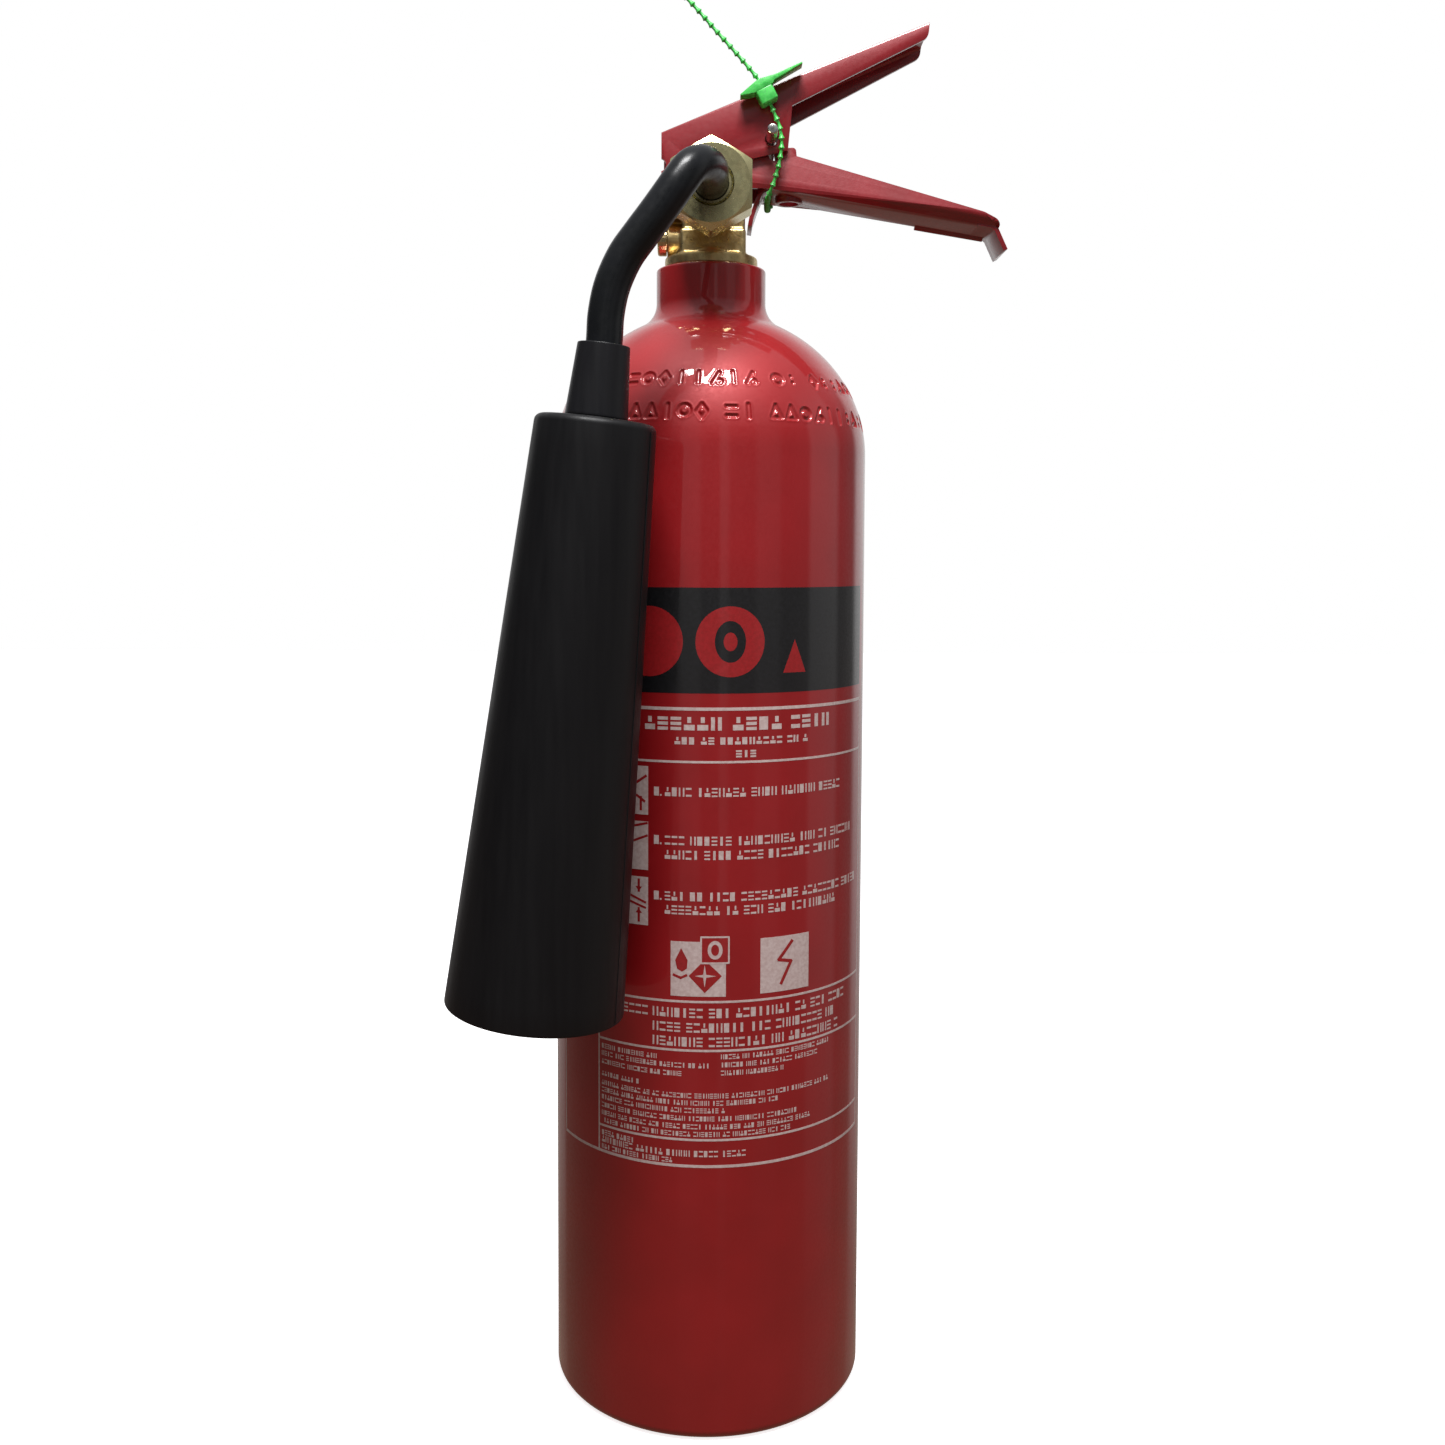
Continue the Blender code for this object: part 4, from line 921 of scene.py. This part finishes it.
def make_label():
    left, right = LABEL_X
    band = Print(PRINT_LIFT)
    band.rect(left, right - 0.4, *BAND_Z)
    band.wrap("label_band", BLACK_INK)

    marks = Print(PRINT_LIFT + 0.03)
    marks.disc(-21.3, 285.5, 12.2, 12.2)
    marks.ring(7.3, 285.5, (12.1, 12.2), (5.4, 7.2))
    marks.disc(7.3, 285.5, 2.4, 3.2)
    marks.shape([(26.6, 274.5), (35.9, 274.5), (31.2, 286.0)])
    marks.wrap("label_band_marks", RED_INK)

    rules = Print(PRINT_LIFT)
    rules.rule(left, right, 262.3, 1.1)
    for z in (243.9, 159.6, 142.2, 110.2):
        rules.rule(LABEL_INNER_X, right, z)
    rules.rule(left, right, 100.7, 1.0)
    for x in (left, right, LABEL_INNER_X):
        rules.post(x, 101.1, 261.9)
    rules.wrap("label_rules", WHITE_INK)

    draw = random.Random(PRINT_SEED)
    heading = Print(PRINT_LIFT)
    heading.words(-22.8, 51.6, 254.9, 4.6, draw, True)
    heading.words(-12.0, 39.3, 250.0, 2.5, draw, True)
    heading.words(9.4, 18.0, 245.5, 2.5, draw, True)
    for end, z in ((60.4, 153.9), (53.5, 148.7), (56.4, 143.6)):
        heading.words(-19.8, end, z, 3.3, draw)
    heading.words(-37.0, -21.5, 153.9, 3.3, draw)
    heading.wrap("label_headings", WHITE_INK, split=False)

    steps = Print(PRINT_LIFT)
    for z in (231.8, 214.8, 195.2):
        steps.rect(-19.4, -17.6, z, z + 3.1)
        steps.rect(-17.2, -16.6, z, z + 0.6)
    for end, z in ((57.7, 231.8), (64.6, 214.8), (56.2, 209.8), (68.8, 195.2), (55.9, 190.4)):
        steps.words(-15.4, end, z, 3.1, draw)
    steps.wrap("label_steps", WHITE_INK, split=False)

    notes = Print(PRINT_LIFT)
    for start, end, z in (
        (-41.5, -17.9, 138.6), (-41.5, 1.3, 136.0), (-41.5, -9.1, 133.0),
        (4.6, 49.5, 139.2), (4.6, 43.5, 136.3), (4.6, 28.2, 133.4),
        (-41.5, -24.7, 128.5), (-41.5, 50.4, 125.2), (-41.5, 26.5, 122.6), (-41.5, 6.9, 119.9),
        (-41.5, 35.5, 117.0), (-41.5, 40.2, 114.1), (-40.5, 31.0, 111.4),
    ):
        notes.words(start, end, z, 1.7, draw)
    notes.words(-41.5, -27.1, 106.7, 1.9, draw)
    notes.words(-41.5, 15.0, 104.1, 2.2, draw)
    notes.words(-41.5, -11.9, 101.7, 1.7, draw)
    notes.wrap("label_notes", WHITE_INK, split=False)
    make_pictograms()


def make_pictograms():
    panels = Print(PRINT_LIFT)
    for z in (224.8, 205.3, 185.7):
        panels.rect(-38.8, -21.6, z, z + 17.1)
    panels.rect(-13.2, 6.2, 161.5, 180.9)
    panels.rect(18.6, 38.4, 161.8, 181.5)
    panels.wrap("label_panels", WHITE_INK)

    drawn = Print(PRINT_LIFT + 0.03)
    # Lever seen from the side, a slanted path, and two arrows towards each other.
    drawn.line([(-36, 231), (-29, 234), (-22.4, 238.5)], 0.9)
    drawn.line([(-35, 229), (-26, 231.5), (-23, 229.5)], 0.9)
    drawn.line([(-24.4, 231), (-24.4, 226.5)], 0.9)
    drawn.line([(-38, 211), (-22.0, 217.5)], 0.8)
    drawn.line([(-38, 218), (-22.0, 221.9)], 0.8)
    for tip, tail in ((197.6, 201.8), (191.6, 187.0)):
        drawn.line([(-25.2, tail), (-25.2, tip)], 0.9)
        back = math.copysign(1.7, tail - tip)
        drawn.shape([(-25.2, tip), (-26.5, tip + back), (-23.9, tip + back)])
    drawn.line([(-29, 196.2), (-22.6, 193.8)], 0.8)
    drawn.line([(-29, 193.9), (-22.6, 191.9)], 0.8)
    # Drop over a dish, a diamond, and a small framed square at the corner.
    drawn.shape([(-9.5, 178.6), (-11.6, 174.2), (-10.9, 171.2), (-9.2, 170.2), (-7.4, 171.4), (-7.2, 174.4)])
    drawn.line([(-12.2, 169.0), (-9.6, 168.0), (-7.6, 169.0)], 0.9)
    drawn.shape([(-6.8, 168.8), (-1.2, 162.8), (4.8, 168.8), (-1.2, 174.6)])
    drawn.rect(-2.8, 7.5, 173.1, 182.9)
    drawn.line([(31.0, 179.4), (25.6, 173.2), (30.6, 172.2), (26.6, 164.6)], 1.2)
    drawn.wrap("label_pictograms", RED_INK)

    lines = Print(PRINT_LIFT + 0.05)
    lines.shape([(-4.6, 168.8), (-1.2, 168.2), (2.8, 168.8), (-1.2, 169.4)])
    lines.shape([(-1.2, 164.8), (-0.6, 168.8), (-1.2, 172.8), (-1.8, 168.8)])
    for x in (-2.5, 7.2):
        lines.post(x, 173.4, 182.6)
    for z in (173.4, 182.6):
        lines.rule(-2.7, 7.4, z, 0.6)
    lines.ring(2.4, 178.0, (2.6, 3.3), (1.4, 2.0), 24)
    lines.wrap("label_panel_lines", WHITE_INK)


# Valve and discharge side.
def ride(piece, body, slot=None, *nodes):
    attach(piece, body)
    if nodes:
        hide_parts(*nodes)
    return piece


def make_valve():
    body = cast("valve_body", "valve_casting", CAST_BRASS, 0.00038, 5)
    ride(body, "cylinder_and_valve", "cast_brass", "valve_body")


def make_nut():
    corner = NUT_ACROSS_FLATS / math.sqrt(3)
    flat = NUT_ACROSS_FLATS / 2
    depth = NUT_Y[1] - NUT_Y[0]
    outline = arc((0, 0), corner, 90, 450, 6)[:-1]
    bm = bmesh.new()
    prism(bm, outline, -depth, 0)
    bmesh.ops.recalc_face_normals(bm, faces=bm.faces)
    upright = [edge for edge in bm.edges if abs(edge.verts[0].co.z - edge.verts[1].co.z) > depth / 2]
    bmesh.ops.bevel(bm, geom=upright, offset=0.0005, segments=3, profile=0.5, affect="EDGES")
    nut = add("swivel_nut_hex", mesh_of("swivel_nut_hex", bm), NUT_PLATE)
    chamfer = [(0, 0), (flat * 0.955, 0), (flat * 0.975, -0.00015), (corner + 0.001, -0.0019)]
    chamfer += [(corner + 0.001, -depth + 0.0008), (corner - 0.0008, -depth), (0, -depth)]
    boolean(nut, lathe("barrel", chamfer, NUT_PLATE, 144), "INTERSECT")
    bore = [(0, 0.002), (NUT_LIP_R + 0.0022, 0.002), (NUT_LIP_R + 0.0006, 0.00002)]
    bore += [(NUT_LIP_R, -0.0006), (NUT_LIP_R, -0.0029), (OUTLET_R + 0.0005, -0.0029)]
    bore += [(OUTLET_R + 0.0005, -depth - 0.002), (0, -depth - 0.002)]
    boolean(nut, lathe("nut_bore", bore, NUT_PLATE, 96), "DIFFERENCE")
    aim(smooth(nut, 25), (0, -1, 0), (0, NUT_Y[0], OUTLET_Z))
    ride(nut, "cylinder_and_valve", "yellow_zinc_plate", "swivel_nut")


def tube_route():
    axis = (HORN_TOP - HORN_MOUTH).normalized()
    stations = [
        Vector((0, -0.0370, OUTLET_Z)),
        Vector((0, -0.0500, OUTLET_Z)),
        Vector((-0.0003, -0.0600, OUTLET_Z)),
        Vector((-0.0028, -0.0693, 0.4435)),
        Vector((-0.0064, -0.0755, 0.4408)),
        Vector((-0.0103, -0.0780, 0.4354)),
        Vector((-0.0138, -0.0786, 0.4304)),
        Vector((-0.0180, -0.0787, 0.4246)),
        Vector((-0.0227, -0.0787, 0.4184)),
        Vector((-0.0278, -0.0787, 0.4112)),
        Vector((-0.0318, -0.0787, 0.4022)),
        Vector((-0.0338, -0.0787, 0.3930)),
        HORN_TOP + axis * COLLAR_HEIGHT,
        HORN_TOP + axis * 0.0050,
    ]
    return smooth_route(stations, 8)


def make_tube():
    route = tube_route()
    tube = sweep("discharge_pipe", route, [TUBE_R] * len(route), TUBE_PAINT, 40)
    ride(tube, "discharge_horn", "black_satin_paint", "discharge_tube")


def make_horn():
    axis = HORN_TOP - HORN_MOUTH
    length = axis.length
    edge = HORN_EDGE
    outline = [(HORN_HOLE_R, 0)] + arc((HORN_TOP_R - edge, -edge), edge, 90, 3, 8)
    high = outline[-1]
    low = (HORN_MOUTH_R, -length + HORN_LIP_OUT)
    for step in range(1, HORN_STEPS):
        share = step / HORN_STEPS
        outline.append((high[0] + (low[0] - high[0]) * share, high[1] + (low[1] - high[1]) * share))
    outline += arc((HORN_MOUTH_R - HORN_LIP_OUT, low[1]), HORN_LIP_OUT, 3, -90, 4)
    inner_lip = (HORN_MOUTH_R - HORN_WALL + HORN_LIP_IN, -length + HORN_LIP_IN)
    outline += arc(inner_lip, HORN_LIP_IN, 270, 180, 3)
    inner_top = (HORN_TOP_R - HORN_WALL - HORN_INNER_ROUND, -HORN_WALL - HORN_INNER_ROUND)
    outline += arc(inner_top, HORN_INNER_ROUND, 0, 90, 5)
    outline += [(HORN_HOLE_R, -HORN_WALL)]
    horn = lathe("horn_shell", outline, HORN_PLASTIC, 120, closed=True)
    ride(aim(horn, axis, HORN_TOP), "discharge_horn", "black_plastic", "horn")

    turn = axis.to_track_quat("Z", "Y")
    for index, degrees in enumerate(SEAM_ANGLES):
        spoke = Vector((math.cos(math.radians(degrees)), math.sin(math.radians(degrees)), 0))
        points = []
        for step in range(SEAM_STEPS + 1):
            share = step / SEAM_STEPS
            height = -edge - (length - edge - 0.001) * share
            radius = HORN_TOP_R + (HORN_MOUTH_R - HORN_TOP_R) * (-height / length)
            points.append(HORN_TOP + turn @ (spoke * radius + Vector((0, 0, height))))
        seam = sweep(f"horn_seam_{index + 1}", points, [SEAM_R] * len(points), HORN_PLASTIC, 8)
        ride(seam, "discharge_horn", "black_plastic")

    bore = TUBE_R + GAP
    low_r, high_r = COLLAR_R
    top = COLLAR_HEIGHT
    outline = [(bore, top - 0.0004), (bore + 0.0004, top)]
    outline += arc((high_r - 0.0004, top - 0.0004), 0.0004, 90, 0, 5)
    outline += [(low_r - 0.0001, GAP + 0.0013)]
    outline += arc((low_r - 0.0006, GAP + 0.0006), 0.0006, 0, -90, 4) + [(bore, GAP)]
    collar = lathe("collar_sleeve", outline, COLLAR_PLASTIC, 80, closed=True)
    ride(aim(collar, axis, HORN_TOP), "discharge_horn", "black_plastic", "horn_collar")


# Levers, pin and seal.
def make_levers():
    lever = softened("squeeze_lever", "lever_plate", LEVER_PAINT, 0.00028)
    ride(lever, "lever", "red_satin_paint", "squeeze_lever")
    handle = softened("carry_handle", "handle_plate", LEVER_PAINT, 0.00028)
    ride(handle, "cylinder_and_valve", "red_satin_paint", "carry_handle")


def make_pin():
    near, far = SAFETY_PIN_Y
    radius = SAFETY_PIN_R
    outline = [(0, RING_Y + PIN_EYE_R)] + arc((0, RING_Y), PIN_EYE_R, 78, -38, 10)
    outline += [(radius + 0.0002, far), (radius, far - 0.0006), (radius, near + 0.0007)]
    outline += arc((radius - 0.0006, near + 0.0006), 0.0006, 0, -90, 4) + [(0, near)]
    pin = lathe("safety_pin_rod", outline, STEEL, 48)
    aim(pin, (0, 1, 0), SAFETY_PIN)
    place = SAFETY_PIN + Vector((0, RING_Y, 0))
    reach = [(0, 0.01), (RING_WIRE_R + 0.0006, 0.01), (RING_WIRE_R + 0.0006, -0.01), (0, -0.01)]
    drill = aim(lathe("drill", reach, STEEL, 32), (0, 0, 1), place)
    smooth(boolean(pin, drill, "DIFFERENCE"), 30)
    ride(pin, "pin", "steel", "safety_pin")

    centre = SAFETY_PIN + Vector((0.0002 - RING_R, RING_Y, 0))
    section = arc((RING_R, 0), RING_WIRE_R, 0, 360, 14)[:-1]
    ring = aim(lathe("pull_ring_wire", section, STEEL, 112, closed=True), (0, 1, 0), centre)
    ride(ring, "ring", "steel", "pull_ring")


def strap_route():
    """Middle line of the strap: root, over the lever, under the handle, lock, tail."""
    stations = [
        Vector((0.0190, -0.0168, 0.4858)),
        Vector((0.0192, -0.0145, 0.4865)),
        Vector((0.0200, 0.0000, 0.4868)),
        Vector((0.0210, 0.0140, 0.4868)),
        Vector((0.0226, 0.0166, 0.4840)),
        Vector((0.0252, 0.0170, 0.4760)),
        Vector((0.0262, 0.0168, 0.4670)),
        Vector((0.0250, 0.0166, 0.4570)),
        Vector((0.0234, 0.0158, 0.4510)),
        Vector((0.0215, 0.0114, 0.4470)),
        Vector((0.0208, 0.0000, 0.4460)),
        Vector((0.0208, -0.0112, 0.4461)),
        Vector((0.0213, -0.0151, 0.4473)),
        Vector((0.0224, -0.0163, 0.4498)),
        Vector((0.0236, -0.0164, 0.4536)),
        Vector((0.0248, -0.0166, 0.4585)),
        Vector((0.0255, -0.0167, 0.4650)),
        Vector((0.0246, -0.0172, 0.4704)),
        Vector((0.0228, -0.0178, 0.4745)),
        Vector((0.0213, -0.0181, 0.4780)),
        Vector((0.0172, -0.0182, 0.4859)),
        Vector((0.0110, -0.0188, 0.4932)),
        Vector((0.0020, -0.0186, 0.5030)),
        Vector((-0.0070, -0.0180, 0.5130)),
        Vector((-0.0145, -0.0174, 0.5203)),
    ]
    return smooth_route(stations, 8)


def make_seal():
    along = Vector((math.cos(SEAL_TILT), 0, math.sin(SEAL_TILT)))
    up = Vector((-math.sin(SEAL_TILT), 0, math.cos(SEAL_TILT)))
    flag = [(-0.0086, 0.0015), (-0.0036, 0), (0.0036, 0), (0.0046, 0.0009), (0.0164, 0.0014)]
    flag += [(0.0164, 0.0021), (0.0060, 0.0026), (0.0010, 0.0037), (-0.0012, 0.0037)]
    flag += [(-0.0086, 0.0020)]
    stand = Matrix((along, up, along.cross(up))).transposed().to_4x4()
    place = Matrix.Translation(SEAL_CENTRE) @ stand
    tag = prism_mesh("seal_tag", flag, -0.0029, 0.0029, GREEN, 0.0002)
    tag.data.transform(place)
    ride(tag, "lever", "green_plastic", "tamper_seal")
    outline = [(-0.0033, -0.0052), (0.0033, -0.0052), (0.0033, 0.0005), (-0.0033, 0.0005)]
    block = prism_mesh("seal_lock_block", outline, -0.0029, 0.0029, GREEN, 0.0008, 3)
    block.data.transform(place)
    ride(block, "lever", "green_plastic")

    # Each barb is a short cone on a thin strap: quick rise, slow fall.
    pattern = (0.50, 1.0, 0.80, 0.62, 0.52, 0.50, 0.50)
    points = evenly(strap_route(), SEAL_BEAD_PITCH / len(pattern))
    radii = [SEAL_BEAD_R * pattern[index % len(pattern)] for index in range(len(points))]
    # The strap's tail ends plain.
    radii[-SEAL_TAIL_POINTS:] = [SEAL_STRAP_R] * SEAL_TAIL_POINTS
    strap = sweep("seal_strap", points, radii, GREEN, 10)
    ride(strap, "lever", "green_plastic")


def dress_nodes():
    """Materials of the CAD nodes that stay in view."""
    finishes = {
        "neck_seal": RUBBER,
        "stem_gland": TURNED_BRASS,
        "stem_seal": RUBBER,
        "valve_stem": SPRING_STEEL,
        "valve_poppet": NYLON,
        "return_spring": SPRING_STEEL,
        "spring_retainer": TURNED_BRASS,
        "dip_tube": ALUMINIUM,
        "burst_disc": COPPER,
        "burst_disc_washer": STEEL,
        "burst_disc_plug": PLUG_BRASS,
        "swivel_seal": NYLON,
        "tube_ferrule": NUT_PLATE,
        "gas_jet": TURNED_BRASS,
        "lever_rivet": STEEL,
        "handle_pin": STEEL,
    }
    for node, material in finishes.items():
        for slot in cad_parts[node].material_slots:
            slot.material = material


make_camera()
make_world()
make_stage()
make_shell()
make_label()
make_valve()
make_nut()
make_tube()
make_horn()
make_levers()
make_pin()
make_seal()
dress_nodes()
